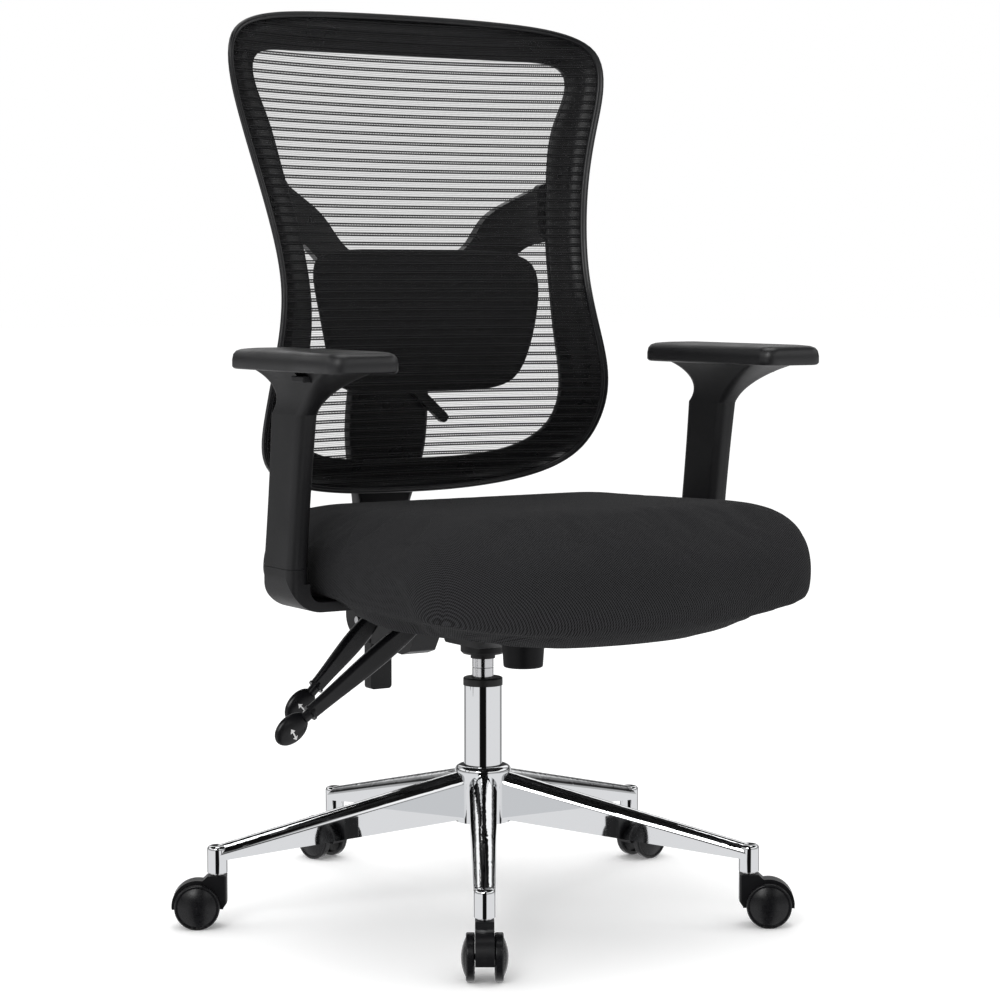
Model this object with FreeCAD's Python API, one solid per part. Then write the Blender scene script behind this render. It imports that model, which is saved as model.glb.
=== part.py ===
import FreeCAD, Part
import math
import os

# Swivel office chair with a mesh back, height-adjustable arms and a chromed five-star base.
# Millimetres, +Z up. The origin is on the floor under the gas column's axis.
# The chair faces -Y, so its own left side is +X.

V = FreeCAD.Vector
X_AXIS = V(1, 0, 0)
Y_AXIS = V(0, 1, 0)
Z_AXIS = V(0, 0, 1)

# ---------------------------------------------------------------- general fits
RUNNING_FIT = 0.05          # radial clearance of a shaft that turns or slides in its bore
FIXED_FIT = 0.02            # radial clearance of a pin that is pressed or clamped in place
LOOSE_GAP = 0.35            # gap between faces of different moving pieces
SEAM = 0.2                  # gap between mouldings that are screwed together
SCREW_R = 3.0
SCREW_HOLE_R = 3.2
SCREW_HEAD_R = 5.5
SCREW_HEAD_H = 3.5

# ---------------------------------------------------------------- five-star base
LEG_COUNT = 5
FIRST_LEG_ANGLE = -121.0    # the base is turned in its bearing, one leg points front-right
STEM_CIRCLE_R = 352.0
HUB_R = 36.5
HUB_TOP = 187.0
HUB_BOTTOM = 114.0
HUB_EDGE_R = 7.0
LEG_ROOT_W = 36.0
LEG_ROOT_TOP = 181.0
LEG_ROOT_BOTTOM = 120.0
LEG_TIP_W = 26.0
LEG_TIP_TOP = 104.0
LEG_TIP_BOTTOM = 86.0
LEG_CROWN = 0.42            # share of the width that the rounded top rises
LEG_WALL = 3.0
SOCKET_R = 13.0             # upright tube at the leg's end
SOCKET_BOTTOM = 70.0
SOCKET_EDGE_R = 5.0

# ---------------------------------------------------------------- casters
CASTER_TURNS = (0.0, 15.0, -13.0, 12.0, -16.0)  # each caster's swivel from its leg's line
WHEEL_R = 28.5
WHEEL_EDGE_R = 2.2
TYRE_W = 10.8
TYRE_RIM_DEPTH = 0.8        # step between the tyre's side and the domed disc
DOME_R = 24.5
DOME_RISE = 5.6
WEB_W = 22.5                # caster body between the wheels
TRAIL = 25.0
WEB_R = 32.5
WEB_BOTTOM = 24.5
BOSS_REACH = 12.0           # from the stem's axis to the boss's flat front
BOSS_TOP = 66.5
BOSS_CHAMFER = 8.0
STEM_R = 5.5
STEM_BOTTOM = 40.0
STEM_TOP = 98.0
STEM_FLANGE_R = 9.0
STEM_FLANGE_H = 2.4
AXLE_R = 4.0
AXLE_HALF = 20.0

# ---------------------------------------------------------------- gas column
OUTER_TUBE_R = 25.0
OUTER_TUBE_WALL = 2.5
OUTER_TUBE_BOTTOM = 118.0
OUTER_TUBE_TOP = 291.0
TUBE_FLOOR = 4.0
COLLAR_R = 25.6
COLLAR_TOP = 301.0
BUSH_BOTTOM = 205.0
CYLINDER_R = 14.0
CYLINDER_WALL = 2.2
CYLINDER_BOTTOM = 158.0
CYLINDER_TOP = 366.0
CYLINDER_SEAM_Z = 314.0
ROD_R = 5.0
ROD_BOTTOM = 111.0
PISTON_Z = 248.0
PISTON_H = 10.0
BEARING_R = 14.0
BEARING_H = 6.0
CLIP_R = 9.0
CLIP_H = 1.6
PIN_R = 4.0
PIN_LENGTH = 22.0
PIN_PROUD = 7.7

# ---------------------------------------------------------------- tilt mechanism
HOUSING_HALF_W = 36.0
HOUSING_FRONT = -128.0
HOUSING_REAR = 38.0
HOUSING_BOTTOM = 345.0
HOUSING_NOSE_BOTTOM = 357.5
HOUSING_TOP = 393.0
HOUSING_REAR_TOP = 376.0
SHEET = 3.0
BOSS_R = 29.0
BOSS_BOTTOM = 332.0
LIP_R = 16.0
LIP_BOTTOM = 326.0
TILT_Y = -60.0
TILT_Z = 384.0
TILT_AXLE_R = 5.0
EAR_W = 36.0
EAR_SHEET = 4.0
KNOB_Y = -98.0
KNOB_TOP_R = 27.0
KNOB_BOTTOM_R = 25.0
KNOB_BOTTOM = 326.0
BOLT_R = 5.0
SPRING_R = 13.0
SPRING_WIRE_R = 2.4
SPRING_TURNS = 4

# ---------------------------------------------------------------- levers
LEVER_PIVOT_X = -46.0
LEVER_PIVOT_Z = 379.0
LEVER_SHAFT_R = 5.0
LEVER_BEND_X = -97.0
LEVER_END = (-250.0, 276.0)          # x and z of the paddle's neck
BACK_LEVER_Y = 74.0
BACK_LEVER_PIVOT_X = -112.0
BACK_LEVER_PIVOT_Z = 380.0
BACK_LEVER_END = (-203.5, 296.0)
TRUNNION_R = 3.0
LEVER_ROOT_W = 27.0
LEVER_NECK_W = 19.0
LEVER_THICK = 13.0
PADDLE_LENGTH = 50.0
PADDLE_W = 35.0
PADDLE_THICK = 16.0
FLANGE_R = 10.5
FLANGE_H = 3.0

# ---------------------------------------------------------------- seat
SEAT_HALF_W = 284.0
SEAT_FRONT = -382.0
SEAT_REAR = 140.0
SEAT_BOW = 22.0             # the front edge's middle stands this far ahead of its ends
SEAT_CORNER_R = 52.0
SEAT_REAR_CORNER_R = 90.0
SEAT_TOP = 529.0
SEAT_SLOPE = 1.8            # degrees, the top falls toward the back
SEAT_FRONT_BOTTOM = 384.0
SEAT_SIDE_BOTTOM = 418.0    # the front lip rises to this height at the sides
SEAT_EDGE = 34.0            # how far the lower edge is rounded in
SEAT_CROWN = 81.0           # how far the top's level part stands in from the sides
BOARD_BOTTOM = 424.0
BOARD_THICK = 12.0
BOARD_HALF_W = 238.0
BOARD_FRONT = -300.0
BOARD_REAR = 112.0
BOARD_CORNER_R = 60.0
PLATE_HALF_W = 100.0
PLATE_FRONT = -105.0
PLATE_REAR = 181.0
CHEEK_FRONT = 35.0
CHEEK_REAR = 181.0
CHEEK_BOTTOM = 345.0
CHEEK_CORNER_R = 26.0
RECLINE_Y = 145.0
RECLINE_Z = 366.0
RECLINE_PIN_R = 5.0
SPARE_HOLE_Y = 110.0
SPARE_HOLE_Z = 364.0
SEAT_BOLT_X = 80.0
SEAT_BOLT_FRONT = -88.0
SEAT_BOLT_REAR = 22.0

# ---------------------------------------------------------------- arms
ARM_X = 309.5               # middle of the upright
ARM_Y = -48.0               # at the seam's height
ARM_LEN = 76.0              # fore and aft
ARM_THICK = 28.0
ARM_CORNER_R = 11.0
ARM_SEAM_Z = 465.0
ARM_SEAM_GAP = 0.6
ARM_LEAN = 0.135            # the upright leans forward this much per unit of height
FOOT_BOTTOM = 412.0
FOOT_INNER_X = 128.0
FOOT_BEND_R = 44.0
TONGUE_THICK = 13.0
TONGUE_LEN = 52.0
TONGUE_TOP = 606.0
CAVITY_TOP = 682.0
PAD_X = 307.0
PAD_Y = -118.0
PAD_LEN = 276.0
PAD_W = 92.0
PAD_THICK = 25.0
PAD_TOP = 730.0
PAD_CORNER_R = 19.0
PAD_EDGE_R = 6.0
FLARE_LEN = 208.0
FLARE_W = 66.0
BUTTON_LEN = 30.0
BUTTON_W = 16.0
BUTTON_H = 7.0
BUTTON_TRAVEL = 3.0

# ---------------------------------------------------------------- back
# The mesh's middle line as (height, set-back), and the radius that wraps it round the sitter.
BACK_LINE = (
    (495, 223), (527, 213), (583, 190), (650, 158), (740, 143),
    (800, 149), (865, 166), (980, 200), (1100, 220), (1185, 226),
)
BACK_WRAP_R = 600.0
# Right half of the back's outer edge, top to bottom: poles of a smooth closed curve, (x, z).
BACK_EDGE = (
    (0, 1167), (80, 1166), (160, 1162), (229, 1154), (283, 1131), (286, 1075), (271, 1020),
    (252, 950), (238, 880), (231, 810), (242, 745), (256, 690), (260, 635), (249, 578),
    (200, 545), (120, 530), (50, 526), (0, 526),
)
# Right half of the frame's inner edge.
OPENING_EDGE = (
    (0, 1113), (90, 1112), (170, 1110), (238, 1109), (244, 1070), (214, 1018), (203, 950),
    (188, 880), (182, 800), (186, 730), (201, 668), (199, 612), (150, 580), (70, 573), (0, 573),
)
MESH_THICK = 1.4
RIM_W = 8.5
RIM_PROUD = 2.0             # the bead stands ahead of the mesh
RIM_DEPTH = 5.5             # and reaches this far behind its face
FLANGE_INSET = 5.0
FRAME_DEPTH = 10.0
YOKE_SETBACK = 46.0         # yoke face behind the mesh on the centre line
YOKE_THICK = 15.0
YOKE_JOIN_X = 200.0         # where the yoke's arms meet the frame
# Right half of the yoke's arms seen from the front: upper edge, then lower edge.
ARM_UPPER = ((0, 838), (60, 842), (92, 856), (123, 894), (162, 921), (204, 943))
ARM_LOWER = ((192, 864), (168, 856), (143, 835), (100, 806), (0, 790))
JOIN_INNER_X = 184.0
JOIN_OUTER_X = 224.0
JOIN_LOW_Z = 866.0
JOIN_HIGH_Z = 942.0
# The yoke's spine: height, front face, thickness and half width.
SPINE = (
    (398, 264, 30, 27), (478, 261, 32, 36), (522, 255, 22, 45), (585, 248, 18, 60),
    (670, 238, 18, 61), (740, 217, 18, 64), (800, 204, 16, 78), (846, 214, 14, 70),
)
BAR_HALF_W = 16.5
BAR_FRONT = 270.0
BAR_THICK = 18.0
BAR_BOTTOM = 250.0
BAR_TOP = 470.0
BAR_CORNER_R = 5.0
SLEEVE_WALL = 6.0
SLEEVE_BOTTOM = 316.0
SLEEVE_TOP = 356.0
BRACKET_HALF_W = 20.0
BRACKET_SHEET = 4.0
CROSS_TUBE_R = 12.0

# ---------------------------------------------------------------- lumbar support
# Right half of the lumbar pad's edge.
LUMBAR_EDGE = (
    (0, 853), (70, 853), (130, 852), (170, 841), (172, 803), (165, 764), (156, 722),
    (140, 671), (90, 664), (0, 664),
)
LUMBAR_GAP = 3.0            # pad's face behind the mesh
LUMBAR_THICK = 14.0
LUMBAR_PLATE = 3.0
LUMBAR_PLATE_INSET = 22.0
LUMBAR_PIN_X = 32.0
LUMBAR_PIN_Z = 765.0
LUMBAR_PIN_R = 6.0
LUMBAR_TRAVEL = 12.0
LUMBAR_LEVER_X = 33.0
LUMBAR_LEVER_Z = 664.0
LUMBAR_LEVER_LEN = 58.0
LUMBAR_LEVER_W = 14.0
LUMBAR_LEVER_THICK = 8.0
LUMBAR_LEVER_ANGLE = -42.0


# ================================================================= shape helpers
def box(x0, x1, y0, y1, z0, z1):
    return Part.makeBox(x1 - x0, y1 - y0, z1 - z0, V(x0, y0, z0))


def rod(radius, start, end):
    direction = end.sub(start)
    return Part.makeCylinder(radius, direction.Length, start, direction)


def line(a, b):
    return Part.makeLine(a, b)


def arc(a, b, c):
    return Part.Arc(a, b, c).toShape()


def solid_prism(wire, direction):
    return Part.Face(wire).extrude(direction)


def rounded_rect(cx, cy, sx, sy, radius, z):
    """Closed outline with four arcs, in the horizontal plane at z."""
    hx = sx / 2
    hy = sy / 2
    r = min(radius, hx * 0.98, hy * 0.98)
    s = r * (1 - math.sqrt(0.5))
    edges = []
    corners = ((1, -1), (1, 1), (-1, 1), (-1, -1))
    points = []
    for kx, ky in corners:
        side = V(cx + kx * hx, cy + ky * (hy - r), z)
        end = V(cx + kx * (hx - r), cy + ky * hy, z)
        middle = V(cx + kx * (hx - s), cy + ky * (hy - s), z)
        points.append((end, middle, side) if kx * ky < 0 else (side, middle, end))
    for i, (a, m, b) in enumerate(points):
        edges.append(arc(a, m, b))
        edges.append(line(b, points[(i + 1) % 4][0]))
    return Part.Wire(edges)


def bent_wire(points, radius):
    """Closed wire through points, each corner rounded to radius."""
    edges = []
    cuts = []
    count = len(points)
    for i, p in enumerate(points):
        back = points[i - 1].sub(p)
        ahead = points[(i + 1) % count].sub(p)
        angle = back.getAngle(ahead)
        reach = min(radius / math.tan(angle / 2), back.Length * 0.49, ahead.Length * 0.49)
        r = reach * math.tan(angle / 2)
        back.normalize()
        ahead.normalize()
        bisector = back.add(ahead)
        bisector.normalize()
        depth = r / math.sin(angle / 2) - r
        cuts.append((p.add(back.multiply(reach)), p.add(bisector.multiply(depth)),
                     p.add(ahead.multiply(reach))))
    for i, (a, m, b) in enumerate(cuts):
        edges.append(arc(a, m, b))
        following = cuts[(i + 1) % count][0]
        if following.distanceToPoint(b) > 1e-6:
            edges.append(line(b, following))
    return Part.Wire(edges)


def side_prism(points, x0, x1, radius=0.0):
    """Outline given as (y, z), extruded along X."""
    corners = [V(x0, y, z) for y, z in points]
    if radius > 0:
        wire = bent_wire(corners, radius)
    else:
        wire = Part.makePolygon(corners + [corners[0]])
    return solid_prism(wire, V(x1 - x0, 0, 0))


def front_prism(points, y0, y1, radius=0.0):
    """Outline given as (x, z), extruded along Y."""
    corners = [V(x, y0, z) for x, z in points]
    if radius > 0:
        wire = bent_wire(corners, radius)
    else:
        wire = Part.makePolygon(corners + [corners[0]])
    return solid_prism(wire, V(0, y1 - y0, 0))


def inset(points, distance):
    """Half outline from top to bottom, moved inward by a distance."""
    full = [(-points[1][0], points[1][1])] + list(points) + [(-points[-2][0], points[-2][1])]
    moved = []
    for before, here, after in zip(full, full[1:], full[2:]):
        dx = after[0] - before[0]
        dz = after[1] - before[1]
        size = math.hypot(dx, dz)
        moved.append((here[0] + distance * dz / size, here[1] - distance * dx / size))
    return moved


def edge_prism(points, y0=60.0, y1=330.0):
    """Smooth closed outline from the poles of its right half, as a prism along Y."""
    right = [V(x, y0, z) for x, z in points]
    left = [V(-x, y0, z) for x, z in points[-2:0:-1]]
    curve = Part.BSplineCurve()
    curve.buildFromPoles(right + left, True, 3)
    return solid_prism(Part.Wire([curve.toShape()]), V(0, y1 - y0, 0))


def sagitta(radius, x):
    return radius - math.sqrt(radius * radius - x * x)


def curved_slab(near, far, wrap_r, half_w=300.0):
    """Sheet between two set-backs from the mesh's face, wrapped to a radius."""
    sections = []
    drop = sagitta(wrap_r, half_w)
    for z, y in BACK_LINE:
        a = [V(-half_w, y + near - drop, z), V(0, y + near, z), V(half_w, y + near - drop, z)]
        b = [V(half_w, y + far - drop, z), V(0, y + far, z), V(-half_w, y + far - drop, z)]
        edges = [arc(*a), line(a[2], b[0]), arc(*b), line(b[2], a[0])]
        sections.append(Part.Wire(edges))
    return Part.makeLoft(sections, True, False)


def mesh_y(z):
    """Set-back of the mesh's middle line at a height, between its stated points."""
    for (z0, y0), (z1, y1) in zip(BACK_LINE, BACK_LINE[1:]):
        if z0 <= z <= z1:
            return y0 + (y1 - y0) * (z - z0) / (z1 - z0)
    return BACK_LINE[-1][1]


def mirrored(shape):
    return shape.mirror(V(0, 0, 0), X_AXIS)


def save(name, shape):
    solids = shape.Solids
    result = solids[0] if len(solids) == 1 else Part.makeCompound(solids)
    result.exportStep(os.path.join("parts", name + ".step"))
    print(name, len(solids), round(result.Volume / 1000.0, 2), result.isValid())


# ================================================================= base
def leg_section(r, width, bottom, top):
    half = width / 2
    shoulder = top - width * LEG_CROWN
    a = V(r, -half, bottom)
    b = V(r, half, bottom)
    c = V(r, half, shoulder)
    d = V(r, -half, shoulder)
    return Part.Wire([line(a, b), line(b, c), arc(c, V(r, 0, top), d), line(d, a)])


def base_leg():
    hub_end = leg_section(OUTER_TUBE_R + 2, LEG_ROOT_W, LEG_ROOT_BOTTOM, LEG_ROOT_TOP)
    tip_end = leg_section(STEM_CIRCLE_R, LEG_TIP_W, LEG_TIP_BOTTOM, LEG_TIP_TOP)
    leg = Part.makeLoft([hub_end, tip_end], True, True)
    socket = Part.makeCylinder(SOCKET_R, LEG_TIP_TOP - SOCKET_BOTTOM,
                               V(STEM_CIRCLE_R, 0, SOCKET_BOTTOM))
    top_edges = [e for e in socket.Edges if abs(e.BoundBox.ZMin - LEG_TIP_TOP) < 0.01]
    socket = socket.makeFillet(SOCKET_EDGE_R, top_edges)
    inner_root = leg_section(HUB_R + LEG_WALL, LEG_ROOT_W - 2 * LEG_WALL,
                             LEG_ROOT_BOTTOM - 40, LEG_ROOT_TOP - LEG_WALL - 4)
    inner_tip = leg_section(STEM_CIRCLE_R - SOCKET_R - LEG_WALL, LEG_TIP_W - 2 * LEG_WALL,
                            LEG_TIP_BOTTOM - 40, LEG_TIP_TOP - LEG_WALL)
    channel = Part.makeLoft([inner_root, inner_tip], True, True)
    return leg.cut(channel).fuse(socket)


def base_star():
    hub = Part.makeCylinder(HUB_R, HUB_TOP - HUB_BOTTOM, V(0, 0, HUB_BOTTOM))
    rims = [e for e in hub.Edges if abs(e.BoundBox.ZMin - HUB_TOP) < 0.01]
    hub = hub.makeFillet(HUB_EDGE_R, rims)
    leg = base_leg()
    star = hub
    for k in range(LEG_COUNT):
        turned = leg.copy()
        turned.rotate(V(0, 0, 0), Z_AXIS, FIRST_LEG_ANGLE + 360.0 / LEG_COUNT * k)
        star = star.fuse(turned)
    bore = Part.makeCylinder(OUTER_TUBE_R + FIXED_FIT, HUB_TOP, V(0, 0, OUTER_TUBE_BOTTOM))
    well = Part.makeCylinder(BEARING_R, HUB_TOP, V(0, 0, HUB_BOTTOM - 5))
    star = star.cut(bore).cut(well)
    for x, y in stem_points():
        hole = Part.makeCylinder(STEM_R + FIXED_FIT, STEM_TOP - SOCKET_BOTTOM + 1,
                                 V(x, y, SOCKET_BOTTOM - 1))
        star = star.cut(hole)
    return star.removeSplitter()


def stem_points():
    points = []
    for k in range(LEG_COUNT):
        angle = math.radians(FIRST_LEG_ANGLE + 360.0 / LEG_COUNT * k)
        points.append((STEM_CIRCLE_R * math.cos(angle), STEM_CIRCLE_R * math.sin(angle)))
    return points


def caster_stems():
    stems = []
    for x, y in stem_points():
        stem = Part.makeCylinder(STEM_R, STEM_TOP - STEM_BOTTOM, V(x, y, STEM_BOTTOM))
        flange_bottom = SOCKET_BOTTOM - STEM_FLANGE_H
        flange = Part.makeCylinder(STEM_FLANGE_R, STEM_FLANGE_H, V(x, y, flange_bottom))
        stems.append(stem.fuse(flange))
    return Part.makeCompound(stems)


# ================================================================= casters
# A caster is made with its stem's axis through the origin and its wheels trailing along +X.
def caster_hood():
    axle = V(TRAIL, 0, WHEEL_R)
    half = WEB_W / 2
    web = rod(WEB_R, V(TRAIL, -half, WHEEL_R), V(TRAIL, half, WHEEL_R))
    boss = side_boss(half)
    body = web.fuse(boss)
    below = box(-100, 150, -60, 60, -50, WEB_BOTTOM)
    body = body.cut(below)
    stem_hole = Part.makeCylinder(STEM_R + RUNNING_FIT, BOSS_TOP - STEM_BOTTOM + 2,
                                  V(0, 0, STEM_BOTTOM - 1))
    axle_hole = rod(AXLE_R + FIXED_FIT, axle.add(V(0, -60, 0)), axle.add(V(0, 60, 0)))
    return body.cut(stem_hole).cut(axle_hole).removeSplitter()


def side_boss(half):
    outline = [V(-BOSS_REACH, -half, BOSS_TOP), V(-BOSS_REACH, -half, WEB_BOTTOM + BOSS_CHAMFER),
               V(-BOSS_REACH + BOSS_CHAMFER * 0.7, -half, WEB_BOTTOM), V(TRAIL, -half, WEB_BOTTOM),
               V(TRAIL, -half, WHEEL_R + WEB_R * 0.8), V(BOSS_REACH, -half, BOSS_TOP)]
    block = solid_prism(Part.makePolygon(outline + [outline[0]]), V(0, 2 * half, 0))
    uprights = [e for e in block.Edges if abs(e.BoundBox.XMax + BOSS_REACH) < 0.01
                and e.BoundBox.ZLength > 20]
    return block.makeFillet(3.0, uprights)


def caster_wheel():
    """Right-hand wheel: tyre next to the web, domed disc outside."""
    inner_y = WEB_W / 2 + LOOSE_GAP
    outer_y = inner_y + TYRE_W - LOOSE_GAP
    e = WHEEL_EDGE_R
    s = e * (1 - math.sqrt(0.5))
    rim_y = outer_y - TYRE_RIM_DEPTH
    hub_r = 9.0
    rise = outer_y + DOME_RISE - rim_y
    dome_sphere_r = (DOME_R * DOME_R + rise * rise) / (2 * rise)
    half_way_y = outer_y + DOME_RISE - sagitta(dome_sphere_r, DOME_R / 2)
    p = [V(AXLE_R + RUNNING_FIT, inner_y, 0), V(WHEEL_R - e, inner_y, 0),
         V(WHEEL_R - s, inner_y + s, 0), V(WHEEL_R, inner_y + e, 0),
         V(WHEEL_R, outer_y - e, 0), V(WHEEL_R - s, outer_y - s, 0),
         V(WHEEL_R - e, outer_y, 0), V(DOME_R + 0.8, outer_y, 0),
         V(DOME_R, rim_y, 0), V(DOME_R / 2, half_way_y, 0),
         V(0, outer_y + DOME_RISE, 0), V(0, AXLE_HALF + 0.5, 0),
         V(AXLE_R + RUNNING_FIT, AXLE_HALF + 0.5, 0)]
    edges = [line(p[0], p[1]), arc(p[1], p[2], p[3]), line(p[3], p[4]), arc(p[4], p[5], p[6]),
             line(p[6], p[7]), line(p[7], p[8]), arc(p[8], p[9], p[10]), line(p[10], p[11]),
             line(p[11], p[12]), line(p[12], p[0])]
    wheel = Part.Face(Part.Wire(edges)).revolve(V(0, 0, 0), Y_AXIS, 360)
    recess = rod(WHEEL_R - 5.0, V(0, inner_y - 1, 0), V(0, inner_y + 5.0, 0))
    hub = rod(hub_r, V(0, inner_y - 2, 0), V(0, inner_y + 6.0, 0))
    wheel = wheel.cut(recess.cut(hub))
    wheel.translate(V(TRAIL, 0, WHEEL_R))
    return wheel


def caster_axle():
    start = V(TRAIL, -AXLE_HALF, WHEEL_R)
    return rod(AXLE_R, start, V(TRAIL, AXLE_HALF, WHEEL_R))


def save_casters():
    right = caster_wheel()
    left = right.mirror(V(0, 0, 0), Y_AXIS)
    pieces = {"hood": caster_hood(), "axle": caster_axle(),
              "wheel_right": right, "wheel_left": left}
    for k, (x, y) in enumerate(stem_points()):
        turn = FIRST_LEG_ANGLE + 360.0 / LEG_COUNT * k + CASTER_TURNS[k]
        for name, shape in pieces.items():
            placed = shape.copy()
            placed.rotate(V(0, 0, 0), Z_AXIS, turn)
            placed.translate(V(x, y, 0))
            save("caster_%d_%s" % (k + 1, name), placed)


# ================================================================= gas column
def outer_tube():
    tube = Part.makeCylinder(OUTER_TUBE_R, OUTER_TUBE_TOP - OUTER_TUBE_BOTTOM,
                             V(0, 0, OUTER_TUBE_BOTTOM))
    inside = Part.makeCylinder(OUTER_TUBE_R - OUTER_TUBE_WALL, OUTER_TUBE_TOP,
                               V(0, 0, OUTER_TUBE_BOTTOM + TUBE_FLOOR))
    hole = Part.makeCylinder(ROD_R + RUNNING_FIT, TUBE_FLOOR + 2, V(0, 0, OUTER_TUBE_BOTTOM - 1))
    return tube.cut(inside).cut(hole)


def guide_bushing():
    sleeve_r = OUTER_TUBE_R - OUTER_TUBE_WALL - FIXED_FIT
    sleeve = Part.makeCylinder(sleeve_r, OUTER_TUBE_TOP - BUSH_BOTTOM, V(0, 0, BUSH_BOTTOM))
    collar = Part.makeCylinder(COLLAR_R, COLLAR_TOP - OUTER_TUBE_TOP, V(0, 0, OUTER_TUBE_TOP))
    top = [e for e in collar.Edges if abs(e.BoundBox.ZMin - COLLAR_TOP) < 0.01]
    collar = collar.makeFillet(2.0, top)
    bore = Part.makeCylinder(CYLINDER_R + RUNNING_FIT, COLLAR_TOP, V(0, 0, BUSH_BOTTOM - 1))
    return sleeve.fuse(collar).cut(bore)


def thrust_bearing():
    floor = OUTER_TUBE_BOTTOM + TUBE_FLOOR
    ring = Part.makeCylinder(BEARING_R, BEARING_H, V(0, 0, floor))
    bore = Part.makeCylinder(ROD_R + RUNNING_FIT, BEARING_H + 2, V(0, 0, floor - 1))
    groove = Part.makeTorus(BEARING_R, 1.2, V(0, 0, floor + BEARING_H / 2), Z_AXIS)
    return ring.cut(bore).cut(groove)


def piston_rod():
    shaft = Part.makeCylinder(ROD_R, PISTON_Z + PISTON_H - ROD_BOTTOM, V(0, 0, ROD_BOTTOM))
    shoulder_z = OUTER_TUBE_BOTTOM + TUBE_FLOOR + BEARING_H + RUNNING_FIT
    shoulder = Part.makeCylinder(BEARING_R - 3, 3.0, V(0, 0, shoulder_z))
    piston_r = CYLINDER_R - CYLINDER_WALL - RUNNING_FIT
    piston = Part.makeCylinder(piston_r, PISTON_H, V(0, 0, PISTON_Z))
    clip_z = OUTER_TUBE_BOTTOM - LOOSE_GAP - CLIP_H
    groove = Part.makeCylinder(ROD_R + 1, CLIP_H, V(0, 0, clip_z))
    core = Part.makeCylinder(ROD_R - 1, CLIP_H, V(0, 0, clip_z))
    return shaft.fuse(shoulder).fuse(piston).cut(groove.cut(core))


def rod_clip():
    clip_z = OUTER_TUBE_BOTTOM - LOOSE_GAP - CLIP_H
    ring = Part.makeCylinder(CLIP_R, CLIP_H - FIXED_FIT, V(0, 0, clip_z + FIXED_FIT / 2))
    hole = Part.makeCylinder(ROD_R - 1 + FIXED_FIT, CLIP_H + 2, V(0, 0, clip_z - 1))
    mouth = box(0, CLIP_R + 1, -2.5, 2.5, clip_z - 1, clip_z + CLIP_H + 1)
    return ring.cut(hole).cut(mouth)


def gas_cylinder():
    body = Part.makeCylinder(CYLINDER_R, CYLINDER_TOP - CYLINDER_BOTTOM, V(0, 0, CYLINDER_BOTTOM))
    gas = Part.makeCylinder(CYLINDER_R - CYLINDER_WALL, CYLINDER_TOP - CYLINDER_BOTTOM - 28,
                            V(0, 0, CYLINDER_BOTTOM + 6))
    gland = Part.makeCylinder(ROD_R + RUNNING_FIT, 10, V(0, 0, CYLINDER_BOTTOM - 1))
    pin_bottom = CYLINDER_TOP + PIN_PROUD - PIN_LENGTH
    pin_hole = Part.makeCylinder(PIN_R + RUNNING_FIT, PIN_LENGTH + 6, V(0, 0, pin_bottom - 5))
    seam = Part.makeTorus(CYLINDER_R + 0.3, 0.7, V(0, 0, CYLINDER_SEAM_Z), Z_AXIS)
    return body.cut(gas).cut(gland).cut(pin_hole).cut(seam)


def release_pin():
    bottom = CYLINDER_TOP + PIN_PROUD - PIN_LENGTH
    pin = Part.makeCylinder(PIN_R, PIN_LENGTH, V(0, 0, bottom))
    top = [e for e in pin.Edges if abs(e.BoundBox.ZMin - bottom - PIN_LENGTH) < 0.01]
    return pin.makeChamfer(0.8, top)


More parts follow.
